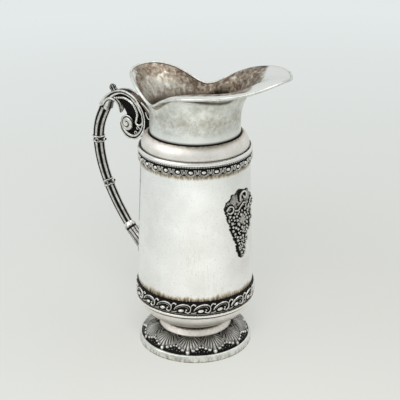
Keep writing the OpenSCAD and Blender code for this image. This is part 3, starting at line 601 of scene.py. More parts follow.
def upperRelief(x, y, pitch):
    tooth = 0.5 + 0.5 * np.cos(2 * math.pi * upperBorder["teeth"] * x / pitch)
    topLine = (0.5 + 0.5 * tooth) * rounded((y - upperBorder["edge"]) / upperBorder["topLine"])
    footLine = (0.4 + 0.4 * tooth) * rounded((y + upperBorder["edge"]) / upperBorder["footLine"])
    height = np.maximum(topLine, footLine)
    for shift in (-pitch, 0, pitch):
        u = x + shift
        egg = boss(u, y, (0, -upperBorder["eggDrop"]), *upperBorder["egg"], upperBorder["eggRise"])
        dartPlace = (pitch / 2, -upperBorder["dartDrop"])
        dart = boss(u, y, dartPlace, *upperBorder["dart"], upperBorder["dartRise"])
        height = np.maximum.reduce([height, egg, dart])
        for wide, tall, rise in upperBorder["cups"]:
            off = (np.hypot(u / wide, y / tall) - 1) * tall / upperBorder["cupWidth"]
            cup = rise * rounded(off) * (y < upperBorder["brim"])
            curlPlace = (wide * math.sqrt(1 - (upperBorder["brim"] / tall) ** 2), upperBorder["brim"])
            curl = boss(np.abs(u), y, curlPlace, upperBorder["curl"], upperBorder["curl"], rise + 0.3)
            height = np.maximum.reduce([height, cup, curl])
    return height


upperFoot = zUpperLow - upperBorder["drop"]
upperPiece = borderRing("upper_border_cast", upperBorder, upperFoot, zUpperTop, upperRelief)
settle(upperPiece, "oxidised_silver", "upper_band")
print("borders: lower scrolls, upper eggs")


# Foot cushion and its wreath of acanthus leaves. Flat coordinates are the run down from the stem and the
# distance across, measured at the wreath's middle radius.
wreath = {
    "leaves": 12, "start": 34.2, "middle": 44.0, "turn": 70, "rows": 66, "columns": 72, "sink": 0.3,
    "fan": 7.0, "veinStep": 7.5, "veinDepth": 0.12, "pillow": 0.3, "body": 0.2, "curl": 0.5, "curlFrom": 12,
    # lobes of half a leaf: path as (across, run), half width at root and tip, height
    "lobes": [
        ([(0, 1), (0, 10), (0, 17.3)], 0.9, 2.2, 0.85),
        ([(0.9, 2), (2.3, 10), (4.5, 15.5)], 0.8, 1.7, 0.75),
        ([(2.0, 2), (4.6, 9), (7.6, 14.0)], 0.8, 1.5, 0.7),
        ([(3.4, 2), (6.8, 8), (10.2, 12.6)], 0.7, 1.4, 0.65),
        ([(4.6, 1), (8.4, 5.4), (11.3, 9.6)], 0.7, 1.3, 0.6),
        ([(6.2, 0), (9.4, 2.6), (11.4, 5.6)], 0.7, 1.2, 0.5),
    ],
    # end of the leaf's body along the run, from its middle to its edge
    "bodyAcross": [0, 4, 8, 11.6], "bodyEnd": [15.6, 13.6, 11.8, 10.4],
    # seeds strewn on the ground between the tips: across, run, radius
    "seeds": [(11.5, 15.2, 0.75), (9.4, 16.4, 0.6), (6.9, 17.0, 0.55)],
}
flatLength = max(cushionR - wreath["start"], 0)
wreathLength = flatLength + foot["cushionRound"] * math.radians(wreath["turn"])


# Point of the cushion's surface at a run length from the stem and an angle, lifted along its normal.
def onCushion(run, turn, lift):
    lean = np.maximum(run - flatLength, 0) / foot["cushionRound"]
    r = np.where(run < flatLength, wreath["start"] + run, cushionR + foot["cushionRound"] * np.sin(lean))
    z = np.where(run < flatLength, zCushionTop, cushionZ + foot["cushionRound"] * np.cos(lean))
    r = r + lift * np.sin(lean)
    z = z + lift * np.cos(lean)
    return np.stack([r * np.cos(turn), r * np.sin(turn), z + 0 * turn], -1)


# Matted ground: a punched black field, with a fine bead against the foot rim
ground = {
    "rows": 70, "columns": 960, "tuck": 0.2, "skirt": 2.4, "punches": 150, "punchRun": 1.4, "punchDepth": 0.1,
    "bead": 0.35, "beadAt": 1.4, "beadWidth": 0.6, "beadCount": 220,
}
runs = np.linspace(-ground["tuck"], wreathLength + ground["skirt"], ground["rows"])[:, None]
turns = np.linspace(0, 2 * math.pi, ground["columns"], endpoint=False)[None, :]
punched = ground["punchDepth"] * np.sin(ground["punches"] * turns)
punched = punched * np.sin(2 * math.pi * runs / ground["punchRun"])
punched = punched * np.clip(wreathLength + 0.6 - runs, 0, 1) * np.clip(runs, 0, 1)
beadLift = ground["bead"] * rounded((runs - wreathLength - ground["beadAt"]) / ground["beadWidth"])
beadLift = beadLift * (0.7 + 0.3 * np.cos(ground["beadCount"] * turns))
groundSkin = onCushion(runs + 0 * turns, turns + 0 * runs, punched + beadLift)
underRuns = np.array([wreathLength + ground["skirt"], wreathLength * 0.5, -ground["tuck"]])[:, None]
groundSole = onCushion(underRuns + 0 * turns, turns + 0 * underRuns, -wall)
collarRings = [np.stack([bore * np.cos(turns), bore * np.sin(turns), z + 0 * turns], -1)
               for z in (zCushionTop - 0.06, zCushionTop - wall)]
cushionVerts = np.vstack([collarRings[0], groundSkin, groundSole, collarRings[1]])
cushionRecess = np.ones(cushionVerts.shape[:2])
cushionRecess[1:1 + ground["rows"]] = 1 - 0.7 * beadLift / ground["bead"]
cushionFaces = gridFaces(len(cushionVerts), ground["columns"], True, True)
cushionPiece = addMesh("foot_cushion_chased", cushionVerts, cushionFaces, castSilver,
                       {"recessAndShade": cushionRecess}, 60)
settle(cushionPiece, "oxidised_silver", "foot_cushion")

# The leaves: veined bodies side by side, each ending in lobes with curled tips
pitch = 2 * math.pi * wreath["middle"] / wreath["leaves"]
across = (np.arange(wreath["columns"]) / wreath["columns"] - 0.5)[None, :] * pitch
run = np.linspace(0, wreathLength, wreath["rows"])[:, None]
aside, along = np.abs(across) + 0 * run, run + 0 * across
vein = np.cos(2 * math.pi * np.degrees(np.arctan2(aside, along + wreath["fan"])) / wreath["veinStep"])
pillow = rounded(aside / (0.49 * pitch))
leafBody = wreath["body"] + wreath["pillow"] * pillow + wreath["veinDepth"] * vein
onBody = (along < np.interp(aside, wreath["bodyAcross"], wreath["bodyEnd"])) & (pillow > 0)
leafLift = np.where(onBody, leafBody, -1.0)
tipGlow = np.zeros(leafLift.shape)
for reach in (aside, pitch - aside):
    for line, w0, w1, tall in wreath["lobes"]:
        lobe = ridge(reach, along, line, w0, w1, 1.0)
        curl = boss(reach, along, line[-1], 0.62 * w1, 0.5 * w1, 1.0) * (line[-1][1] > wreath["curlFrom"])
        lift = np.where(onBody, leafBody, 0.2) + tall * lobe ** 0.7 + wreath["curl"] * curl
        leafLift = np.where(lobe > 0.05, np.maximum(leafLift, lift), leafLift)
        tipGlow = np.maximum(tipGlow, curl)
    for x, y, size in wreath["seeds"]:
        seed = boss(reach, along, (x, y), size, size, 0.8)
        leafLift = np.where(seed > 0, np.maximum(leafLift, seed), leafLift)
kept = leafLift > 0
kept = kept | np.roll(kept, 1, 1) | np.roll(kept, -1, 1)
leafLift = np.maximum(leafLift, -0.15)
leafDepth = 0.4 + 0.75 * sunken(np.clip(leafLift, 0, None), 1.25, 2)
leafDepth = np.clip(leafDepth - 0.14 * vein * (1 - tipGlow) - 0.5 * tipGlow, 0, 1)
allRound = (1, wreath["leaves"])
leafSteps = np.arange(wreath["columns"] * wreath["leaves"])
leafTurns = (leafSteps / wreath["columns"] - 0.5) * 2 * math.pi / wreath["leaves"] + 0 * run
leafRuns = run + 0 * leafTurns
wreathPiece = shell("leaf_wreath_chased", onCushion(leafRuns, leafTurns, np.tile(leafLift, allRound)),
                    onCushion(leafRuns, leafTurns, -wreath["sink"]), np.tile(kept, allRound),
                    np.tile(leafDepth, allRound), castSilver, True)
settle(wreathPiece, "oxidised_silver", "leaf_wreath")
print("foot: cushion and leaf wreath")


# Neck and pouring mouth, raised in one piece

mouth = {
    "neckRise": 13.0, "tuck": 4.0, "spoutReach": 90.5, "spoutRise": 60.0, "lobeReach": 82.5, "lobeRise": 53.0,
    "pinchReach": 44.0, "pinchRise": 28.5, "backReach": 63.0, "backRise": 47.0, "pinchAngle": 113.0,
    "tipAngle": 17.0, "droop": 18.0, "droopAngle": 45.0, "pinchSlope": 65.0, "backSlope": 40.0, "pull": 0.45,
    "wire": 1.2, "wireSink": 0.3, "wireSides": 20, "angles": 360, "steps": 56, "neckSteps": 12, "ripple": 0.1,
}
zFlare = zNeck + mouth["neckRise"]


def crest(share):
    return math.cos(0.5 * math.pi * share) ** 2


# Reach, height and slope of the mouth's edge at an angle in degrees from the spout.
def mouthEdge(angle):
    front = min(abs(angle) / mouth["pinchAngle"], 1)
    back = min((180 - abs(angle)) / (180 - mouth["pinchAngle"]), 1)
    tip = math.exp(-(angle / mouth["tipAngle"]) ** 2)
    reach = mouth["pinchReach"] + (mouth["lobeReach"] - mouth["pinchReach"]) * crest(front ** 1.7) ** 1.4
    reach += (mouth["spoutReach"] - mouth["lobeReach"]) * tip
    reach += (mouth["backReach"] - mouth["pinchReach"]) * crest(back)
    rise = mouth["pinchRise"] + (mouth["lobeRise"] - mouth["pinchRise"]) * crest(front ** 2.2)
    rise += (mouth["spoutRise"] - mouth["lobeRise"]) * tip
    rise += (mouth["backRise"] - mouth["pinchRise"]) * crest(back ** 1.35)
    droop = mouth["droop"] * (1 - math.exp(-(angle / mouth["droopAngle"]) ** 2))
    slope = mouth["pinchSlope"] - (mouth["pinchSlope"] + droop) * (1 - front ** 8) ** 1.5
    slope -= (mouth["pinchSlope"] - mouth["backSlope"]) * (1 - back ** 2) ** 2
    return np.array([reach, zNeck + rise]), math.radians(slope)


def bezier(p, t):
    p = [np.array(q, float) for q in p]
    return (1 - t) ** 3 * p[0] + 3 * t * (1 - t) ** 2 * p[1] + 3 * t * t * (1 - t) * p[2] + t ** 3 * p[3]


def bezierAim(p, t):
    p = [np.array(q, float) for q in p]
    d = (1 - t) ** 2 * (p[1] - p[0]) + 2 * t * (1 - t) * (p[2] - p[1]) + t * t * (p[3] - p[2])
    return d / np.linalg.norm(d)


# Places and aims along a curve.
def curveLine(curve, shares):
    return [bezier(curve, t) for t in shares], [bezierAim(curve, t) for t in shares]


neckLevels = np.linspace(zNeck - mouth["tuck"], zFlare, mouth["neckSteps"])[:-1]
flareSteps = 1 - (1 - np.linspace(0, 1, mouth["steps"])) ** 1.25
outerSkin, innerSkin, innerFromEdge, wireVerts = [], [], [], []
for angle in np.linspace(-180, 180, mouth["angles"], endpoint=False):
    end, slope = mouthEdge(angle)
    aim = np.array([math.cos(slope), math.sin(slope)])
    start = np.array([neckR, zFlare])
    inward = end - mouth["pull"] * np.linalg.norm(end - start) * aim
    curve = [start, start + [0, mouth["pull"] * (end[1] - start[1])], inward, end]
    flare, flareAims = curveLine(curve, flareSteps)
    outside = [np.array([neckR, z]) for z in neckLevels] + flare
    aims = [np.array([0, 1.0])] * len(neckLevels) + flareAims
    inside = [q + wall * np.array([-d[1], d[0]]) for q, d in zip(outside, aims)]
    turn = math.radians(angle)
    for skin, line in ((outerSkin, np.array(outside)), (innerSkin, np.array(inside))):
        r = line[:, 0] + mouth["ripple"] * swells(np.array([turn]), line[:, 1], 31) * (line[:, 1] > zNeck)
        skin.append(np.stack([r * math.cos(turn), r * math.sin(turn), line[:, 1]], -1))
    innerFromEdge.append(np.linalg.norm(np.array(inside) - inside[-1], axis=1))
    centre = end + wall / 2 * np.array([-aim[1], aim[0]]) + (mouth["wire"] + fit - mouth["wireSink"]) * aim
    wireAims = slope + np.arange(mouth["wireSides"]) * 2 * math.pi / mouth["wireSides"]
    wireLoop = centre + mouth["wire"] * np.stack([np.cos(wireAims), np.sin(wireAims)], -1)
    wireVerts.append([[r * math.cos(turn), r * math.sin(turn), z] for r, z in wireLoop])
outerSkin, innerSkin = np.array(outerSkin), np.array(innerSkin)
innerFromEdge, wireVerts = np.array(innerFromEdge), np.array(wireVerts)

# Outside: film under the lip and round the neck, a dark line of painted shade on the near side where the
# flare turns out, a black joint below and a strip above it kept clear of clouds and specks. Inside: brown all
# over but for a painted light patch on the back wall, a painted sheen along the near lip and the wiped spout,
# which ends in a dark tongue along its far edge. Pairs are from and to, or middle and width; lean is in
# degrees.
stainsAndPaintedLight = {
    "film": 0.1, "filmRise": (0, 11), "lipFilm": 0.4, "lipLean": (38, 16), "neckFilm": 0.16,
    "neckRise": (18, 7), "line": 0.6, "lineLean": (53, 3), "lineRise": (12, 18), "lineSide": (4, 16),
    "joint": 0.9, "jointFade": 0.6, "neckCleared": 0.85, "clearedTop": 9, "clearedFade": 5,
    "brown": 0.72, "paintedBackSheen": 0.36, "backSheenReach": (16, 40), "backSheenDepth": (8, 17),
    "spoutAim": (0.907, 0.422), "wiped": (54, 61), "spoutBuffed": 0.95,
    "lip": 6, "lipFade": 2.5, "lipSide": (4, 22), "lipSheen": 0.8,
    "tongue": 0.7, "tongueSide": (18, 34), "tongueReach": (20, 38), "tongueEnd": 16, "tongueFade": 9,
    "wire": 0.26, "wireSide": (-6, 20), "wireEnd": 60, "wireFade": 14,
}
fromJoint = outerSkin[..., 2] - zNeck
outerReach = np.hypot(outerSkin[..., 0], outerSkin[..., 1])
lean = np.degrees(np.arctan2(np.gradient(outerSkin[..., 2], axis=1), np.gradient(outerReach, axis=1)))
outerTarnish = stainsAndPaintedLight["film"] + stainsAndPaintedLight["lipFilm"] * bell(lean, *stainsAndPaintedLight["lipLean"])
outerTarnish = outerTarnish + stainsAndPaintedLight["neckFilm"] * bell(fromJoint, *stainsAndPaintedLight["neckRise"])
outerTarnish = outerTarnish * smoothStep(fromJoint, *stainsAndPaintedLight["filmRise"])
# Painted shade: a dark line under the lip on the near side, where the flare turns out.
paintedLipShade = bell(lean, *stainsAndPaintedLight["lineLean"]) * smoothStep(fromJoint, *stainsAndPaintedLight["lineRise"])
paintedLipShade = paintedLipShade * smoothStep(-outerSkin[..., 1], *stainsAndPaintedLight["lineSide"])
joint = smoothStep(stainsAndPaintedLight["joint"] - fromJoint, 0, stainsAndPaintedLight["jointFade"])
outerShadeAndJoint = np.clip(stainsAndPaintedLight["line"] * paintedLipShade + joint, 0, 1)
# The neck is kept clear of clouds and specks in a strip above the joint.
outerCleared = stainsAndPaintedLight["neckCleared"] * smoothStep(stainsAndPaintedLight["clearedTop"] - fromJoint, 0, stainsAndPaintedLight["clearedFade"])
x, y = innerSkin[..., 0], innerSkin[..., 1]
wiped = smoothStep(stainsAndPaintedLight["spoutAim"][0] * x + stainsAndPaintedLight["spoutAim"][1] * y, *stainsAndPaintedLight["wiped"])
# Painted sheen: the inner face of the near lip is kept free of film and clouds, so it shows bright.
paintedLipSheen = smoothStep(stainsAndPaintedLight["lip"] - innerFromEdge, 0, stainsAndPaintedLight["lipFade"]) * smoothStep(-y, *stainsAndPaintedLight["lipSide"])
# Painted light patch: the brown film is lowered on the back wall so that it shows paler.
paintedBackSheen = smoothStep(-x, *stainsAndPaintedLight["backSheenReach"]) * smoothStep(innerFromEdge, *stainsAndPaintedLight["backSheenDepth"])
tongue = smoothStep(y, *stainsAndPaintedLight["tongueSide"]) * smoothStep(x, *stainsAndPaintedLight["tongueReach"])
tongue = tongue * smoothStep(stainsAndPaintedLight["tongueEnd"] - innerFromEdge, 0, stainsAndPaintedLight["tongueFade"])
innerTarnishLessSheen = (stainsAndPaintedLight["brown"] - stainsAndPaintedLight["paintedBackSheen"] * paintedBackSheen) * (1 - wiped) * (1 - paintedLipSheen)
innerRecess = np.clip(stainsAndPaintedLight["tongue"] * tongue * (1 - wiped) + (innerFromEdge < 0.2), 0, 1)
innerBuffedAndSheen = np.maximum(stainsAndPaintedLight["spoutBuffed"] * wiped, stainsAndPaintedLight["lipSheen"] * paintedLipSheen)
mouthTints = {}
for key, out, within in (("tarnish", outerTarnish, innerTarnishLessSheen), ("recessAndShade", outerShadeAndJoint, innerRecess),
                         ("buffedAndSheen", outerCleared, innerBuffedAndSheen)):
    mouthTints[key] = np.concatenate([out, within[:, ::-1]], 1)
mouthVerts = np.concatenate([outerSkin, innerSkin[:, ::-1]], 1)
mouthFaces = gridFaces(mouth["angles"], mouthVerts.shape[1], True, True)
mouthPiece = addMesh("mouth_raised", mouthVerts, mouthFaces, neckSilver, mouthTints, 60)
settle(mouthPiece, "worn_silver", "mouth")

# The wire is stained along the far side, and clean at the spout.
wireStain = stainsAndPaintedLight["wire"] * smoothStep(wireVerts[..., 1], *stainsAndPaintedLight["wireSide"])
wireStain = wireStain * smoothStep(stainsAndPaintedLight["wireEnd"] - wireVerts[..., 0], 0, stainsAndPaintedLight["wireFade"])
wireFaces = gridFaces(mouth["angles"], mouth["wireSides"], True, True)
wirePiece = addMesh("rim_wire_drawn", wireVerts, wireFaces, neckSilver, {"tarnish": wireStain})
settle(wirePiece, "polished_silver", "rim_wire")
print("mouth: raised neck, lip and rim wire")


# Handle, drawn in its own plane as (x, z). The scroll's places are turned round its eye.

handle = {
    "reach": 115.4, "branchTop": 5.5, "branchLow": 4.5, "flutes": 6, "fluteDepth": 1.1, "fluteTurn": 218.0,
    "lowerPull": 0.3952, "middlePull": 0.34, "upperPull": 0.5, "topPull": 0.3,
    "knotLength": 7.0, "knotSwell": 1.0, "knotDrop": 24.0, "knotAt": 0.49,
    "knotStep": 1.2, "knotEdge": (0.66, 0.22), "knotWaist": 0.34, "knotEnd": 0.14,
    # cut twigs of a knot by their turn, each made of balls as reach beyond the knot, size and shade
    "twigs": (35, 205, 275), "twigBalls": ((-0.8, 2.3, 0.6), (0.5, 1.8, 0.15), (1.4, 1.25, 1.0)),
    "eyeOut": 36.0, "eyeDrop": 8.4, "scrollRadius": 24.0, "scrollOpen": 6.6, "scrollDepth": 6.0,
    "scrollStart": 162.0, "scrollEnd": -175.0, "seatUp": 11.0, "collarOut": 26.5, "collarUp": 19.0,
    "collarAim": 131.0, "calyx": 8.5, "bud": 6.6, "budAngle": 124.0, "budSink": 0.4,
}
eye = np.array([-(neckR + handle["eyeOut"]), zNeck - handle["eyeDrop"]])


def aimAt(degrees):
    return np.array([math.cos(math.radians(degrees)), math.sin(math.radians(degrees))])


def scrollReach(a):
    return handle["scrollRadius"] + handle["scrollOpen"] * (a / handle["scrollStart"]) ** 1.8


def scrollAt(a):
    return eye + scrollReach(a) * aimAt(a)


seatZ = zLowerTop + handle["seatUp"]
seat = np.array([-barrelRadius(seatZ), seatZ])
collar = seat + np.array([-handle["collarOut"], handle["collarUp"]])
collarAim = aimAt(handle["collarAim"])
upright = np.array([0.0, 1.0])
upperKnot = np.array([-handle["reach"], eye[1] - handle["knotDrop"]])
scrollTop = scrollAt(handle["scrollStart"])
topAim = scrollAt(handle["scrollStart"] - 1) - scrollAt(handle["scrollStart"] + 1)
topAim = topAim / np.linalg.norm(topAim)
rise = upperKnot[1] - collar[1]
climb = scrollTop[1] - upperKnot[1]
lowerCurve = [collar, collar + handle["lowerPull"] * rise * collarAim,
              upperKnot - handle["middlePull"] * rise * upright, upperKnot]
upperCurve = [upperKnot, upperKnot + handle["upperPull"] * climb * upright,
              scrollTop - handle["topPull"] * climb * topAim, scrollTop]
lowerKnot = bezier(lowerCurve, handle["knotAt"])
lowerKnotAim = bezierAim(lowerCurve, handle["knotAt"])
gap = handle["knotLength"] / 2


# Several closed shapes joined into one piece, with their recess and film.
class Cluster:
    def __init__(self):
        self.verts, self.faces, self.depth, self.film = [], [], [], []

    def add(self, verts, faces, depth, film=0.0):
        first = len(self.verts)
        self.verts += [tuple(v) for v in np.asarray(verts, float).reshape(-1, 3)]
        self.faces += [tuple(first + i for i in face) for face in faces]
        self.depth += list(np.asarray(depth, float).ravel())
        self.film += [film] * (len(self.verts) - first)

    def addBall(self, centre, size, recessAndShade=0.0, rings=14):
        lat = np.linspace(-math.pi / 2, math.pi / 2, rings)[:, None]
        lon = np.linspace(0, 2 * math.pi, 2 * rings, endpoint=False)[None, :]
        ball = np.stack([np.cos(lat) * np.cos(lon), np.cos(lat) * np.sin(lon), np.sin(lat) + 0 * lon], -1)
        faces = gridFaces(rings, 2 * rings, False, True)
        self.add(ball * size + np.array(centre), faces, recessAndShade + 0 * ball[..., 0])

    # Sections stand square to a path in the handle's plane. Each of their points is (across, out, recess).
    def addSweep(self, path, aims, sections, offset=0.0, film=0.0):
        verts, depth = [], []
        for p, d, outline in zip(path, aims, sections):
            for across, out, recessAndShade in outline:
                verts.append((p[0] - out * d[1], offset + across, p[1] + out * d[0]))
                depth.append(recessAndShade)
        count = len(sections[0])
        faces = gridFaces(len(path), count, False, True)
        faces += [tuple(range(count)), tuple((len(path) - 1) * count + i for i in range(count))]
        self.add(verts, faces, depth, film)

    # A flat plate in the handle's plane, its two faces at the given depth from the middle.
    def addPlate(self, outline, half, recessAndShade):
        count = len(outline)
        verts = [(q[0], y, q[1]) for y in (-half, half) for q in outline]
        faces = [tuple(range(count)), tuple(range(count, 2 * count))]
        faces += [(i, (i + 1) % count, count + (i + 1) % count, count + i) for i in range(count)]
        self.add(verts, faces, [recessAndShade] * len(verts))

    def finish(self, name, node, sharpAngle=50):
        tints = {"recessAndShade": self.depth, "tarnish": self.film}
        piece = addMesh(name, self.verts, self.faces, darkSilver, tints, sharpAngle)
        settle(piece, "oxidised_silver", node)


def fullTurn(count):
    return np.linspace(0, 2 * math.pi, count, endpoint=False)


def roundSection(radius, recessAndShade=0.0, count=24, flat=1.0):
    return [(flat * radius * math.cos(a), radius * math.sin(a), recessAndShade) for a in fullTurn(count)]


def branchRadius(p):
    share = (p[1] - collar[1]) / (scrollTop[1] - collar[1])
    return handle["branchLow"] + (handle["branchTop"] - handle["branchLow"]) * share


# Fluted section: rounded ribs with blackened hollows between them.
def flutedSection(radius, count=72):
    outline = []
    for a in fullTurn(count):
        hollow = (0.5 + 0.5 * math.cos(handle["flutes"] * (a - math.radians(handle["fluteTurn"])))) ** 1.5
        r = radius - handle["fluteDepth"] * hollow
        outline.append((r * math.cos(a), r * math.sin(a), 0.1 + 1.2 * hollow))
    return outline


def branch(name, node, curve, t0, t1, start, startAim, end, endAim, rows=28):
    path, aims = curveLine(curve, np.linspace(t0, t1, rows)[1:-1])
    path = [start] + path + [end]
    shape = Cluster()
    shape.addSweep(path, [startAim] + aims + [endAim], [flutedSection(branchRadius(p)) for p in path])
    shape.finish(name, node, 45)


branch("branch_upper_fluted", "branch_upper", upperCurve, 0.1, 1.0,
       upperKnot + gap * upright, upright, scrollTop, topAim)
branch("branch_middle_fluted", "branch_middle", lowerCurve, handle["knotAt"] + 0.05, 0.96,
       lowerKnot + gap * lowerKnotAim, lowerKnotAim, upperKnot - gap * upright, upright)
branch("branch_lower_fluted", "branch_lower", lowerCurve, 0.05, handle["knotAt"] - 0.05,
       collar + gap * collarAim, collarAim, lowerKnot - gap * lowerKnotAim, lowerKnotAim)


# Knot: a collar with bright edges, a dark waist, and cut twigs that stand out from it.
def knot(name, node, p, aim):
    r = branchRadius(p) + handle["knotSwell"]
    shape = Cluster()
    steps = np.linspace(-1, 1, 33)
    ring = r - handle["knotStep"] + handle["knotStep"] * bell(np.abs(steps), *handle["knotEdge"])
    dark = bell(steps, 0, handle["knotWaist"]) + bell(np.abs(steps), 1, handle["knotEnd"])
    shape.addSweep([p + s * gap * aim for s in steps], [aim] * len(steps),
                   [roundSection(q, d, 40) for q, d in zip(ring, dark)])
    normal = np.array([-aim[1], aim[0]])
    for turn in handle["twigs"]:
        side, out = aimAt(turn)
        for beyond, size, shade in handle["twigBalls"]:
            centre = p + (r + beyond) * out * normal
            shape.addBall((centre[0], (r + beyond) * side, centre[1]), size, shade)
    shape.finish(name, node)


knot("knot_upper_cast", "knot_upper", upperKnot, upright)
knot("knot_lower_cast", "knot_lower", lowerKnot, lowerKnotAim)

# Scroll bracket: moulded ribbon wound round a volute, a black web inside it, leaves and pearls on the web.
# Places are (distance from the eye, angle); sizes in millimetres.
scroll = {
    "rows": 170, "width": 10.0, "web": 2.4, "pearls": 17, "pearl": 0.85,
    "outer": [(35.6, 162), (33.6, 142), (31.8, 122), (30.6, 99), (28.6, 77), (26.4, 54), (24.9, 35),
              (22.9, 13), (20.4, -15), (17.9, -47), (14.9, -78), (11.4, -111), (8.9, -145), (7.6, -175)],
    "depth": [(10.4, 162), (7.0, 142), (4.6, 122), (3.6, 99), (3.6, 54), (3.8, 13), (4.6, -47), (5.2, -78),
              (4.6, -111), (3.0, -145), (1.6, -175)],
    "webStart": 122, "webInset": 1.2, "webEnd": [(4.0, 140), (8.5, 98), (14, 108), (20, 116), (26, 120)],
    "rib": [(25.2, 122), (23.9, 110), (23.2, 97), (21.8, 82), (20.3, 67), (18.2, 53), (16.0, 39), (12.4, 23),
            (10.9, 12), (12.6, 2), (16.0, 4), (18.9, 13), (20.0, 26)],
    "ribPearled": 8, "ribOut": 1.0, "pearlOut": 2.0,  # the first places of the rib carry the pearls
    "whiteLeaf": [(25.4, 80), (24.4, 70), (23.3, 54), (21.6, 42), (20.6, 34)],
    "sheath": [(31.0, 158), (30.2, 147), (28.4, 136), (24.4, 128), (19.6, 124), (15.2, 128), (12.6, 146)],
    "pad": [(27.5, 84), (27.5, 60), (28.5, 42), (30.2, 27)], "padFilm": 0.75,
    # half widths along each sweep, as share of its length and size
    "ribSizes": [(0, 0.8), (0.15, 1.25), (0.6, 1.15), (1, 0.7)],
    "sheathSizes": [(0, 3.2), (0.25, 3.6), (0.6, 2.7), (0.85, 2.3), (1, 0.9)],
    "padSizes": [(0, 2.5), (0.4, 4.4), (0.75, 5.2), (1, 4.4)],
    "fill": (80, -10), "fillInset": 2.0, "fillHalf": 3.4,
    "tongue": [(29.0, 52), (30.2, 40), (31.2, 29), (30.0, 19.5), (28.0, 18.5), (26.8, 24), (27.2, 33)],
    "tongueWire": 0.65, "tongueOut": 4.2, "curlWire": 0.5, "curlOut": 0.7,
    "curls": [(12.6, -14, 2.0), (17.0, -12, 1.7), (12.4, -40, 2.0), (15.9, -29, 1.8)],
    "volute": 7.4, "volutePitch": 4.3, "voluteFace": 5.6, "voluteRings": 40, "voluteSpokes": 96,
}


# A size of the scroll at an angle, read from its table.
def scrollTable(key, a):
    values, turns = zip(*scroll[key])
    return float(np.interp(-a, [-v for v in turns], values))


# Moulded section: a sunken back between bright lips, with a black cove down each side.
def ribbonSection(depth, width):
    t, w = depth / 2, width / 2
    half = [
        (0.0, t - 0.8, 0.8), (0.5 * w, t - 0.75, 0.6), (0.62 * w, t - 0.1, 0.05), (0.82 * w, t, 0.0),
        (0.96 * w, t - 0.08, 0.0), (w, t - 0.12 * depth, 0.0), (w, t - 0.3 * depth, 0.1),
        (0.84 * w, t - 0.38 * depth, 1.0), (0.84 * w, t - 0.54 * depth, 1.0),
        (0.98 * w, t - 0.62 * depth, 0.05), (0.98 * w, t - 0.9 * depth, 0.0), (0.88 * w, -t, 0.3),
        (0.0, -t, 0.7),
    ]
    return half + [(-a, o, c) for a, o, c in half[-2:0:-1]]


# Places round the eye, from their distance and angle.
def polar(points):
    return [eye + r * aimAt(a) for r, a in points]


def pathAims(path):
    d = np.gradient(np.array(path), axis=0)
    return d / np.linalg.norm(d, axis=1)[:, None]


# Sizes along a sweep, from a few of them at shares of its length.
def taper(count, pairs):
    shares, sizes = zip(*pairs)
    return np.interp(np.linspace(0, 1, count), shares, sizes)


# Line a little inside the scroll's outer edge.
def insideEdge(start, end, count, inset):
    return [eye + (scrollTable("outer", a) - inset) * aimAt(a) for a in np.linspace(start, end, count)]


bracket = Cluster()
angles = np.linspace(handle["scrollStart"], handle["scrollEnd"], scroll["rows"])
depths = [scrollTable("depth", a) for a in angles]
ribbon = [eye + (scrollTable("outer", a) - d / 2) * aimAt(a) for a, d in zip(angles, depths)]
ribbon = smoothLine(ribbon, scroll["rows"])
ribbonAims = pathAims(ribbon)
ribbonAims[0] = topAim
bracket.addSweep(ribbon, ribbonAims, [ribbonSection(d, scroll["width"]) for d in depths])
webEdge = insideEdge(scroll["webStart"], handle["scrollEnd"], 90, scroll["webInset"])
bracket.addPlate(webEdge + polar(scroll["webEnd"]), scroll["web"], 1.0)
rib = smoothLine(polar(scroll["rib"]), 90)
ribSections = [roundSection(s, 0.0, 16, 1.1) for s in taper(90, scroll["ribSizes"])]
pearlLine = smoothLine(polar(scroll["rib"][:scroll["ribPearled"]]), scroll["pearls"])
whiteLeaf = smoothLine(polar(scroll["whiteLeaf"]), 40)
whiteSections = [roundSection(s, 0.0, 20, 0.8) for s in 0.4 + 1.5 * np.sin(np.linspace(0.15, 3.0, 40))]
curlSections = [roundSection(scroll["curlWire"], 0.0, 10)] * 30
rings = np.linspace(0, scroll["volute"], scroll["voluteRings"])[:, None]
spokes = fullTurn(scroll["voluteSpokes"])[None, :]
winding = (rings / scroll["volutePitch"] + spokes / (2 * math.pi) - 0.1) % 1.0
windingGroove = bell(winding, 0.5, 0.13) * smoothStep(rings, 0.6, 1.6)
voluteFace = scroll["voluteFace"] - 1.6 * (rings / scroll["volute"]) ** 4 - 1.0 * windingGroove
voluteFaces = gridFaces(scroll["voluteRings"] + 1, scroll["voluteSpokes"], False, True)
for side in (-1, 1):
    bracket.addSweep(rib, pathAims(rib), ribSections, side * (scroll["web"] + scroll["ribOut"]))
    for k, q in enumerate(pearlLine):
        size = scroll["pearl"] * (1.1 - 0.3 * k / scroll["pearls"])
        bracket.addBall((q[0], side * (scroll["web"] + scroll["pearlOut"]), q[1]), size, 0.0, 10)
    bracket.addSweep(whiteLeaf, pathAims(whiteLeaf), whiteSections, side * (scroll["web"] + scroll["ribOut"]))
    for r, a, size in scroll["curls"]:
        centre = eye + r * aimAt(a)
        curl = smoothLine([centre + size * (1 - 0.08 * k) * aimAt(a + 40 * k) for k in range(9)], 30)
        bracket.addSweep(curl, pathAims(curl), curlSections, side * (scroll["web"] + scroll["curlOut"]))
    # volute: a domed disc with a spiral groove
    disc = np.stack([eye[0] + rings * np.cos(spokes), side * voluteFace, eye[1] + rings * np.sin(spokes)], -1)
    skirt = disc[-1:].copy()
    skirt[..., 1] = side * scroll["web"]
    bracket.add(np.concatenate([disc, skirt]), voluteFaces,
                np.concatenate([0.75 * windingGroove, 0.8 + 0 * spokes]))

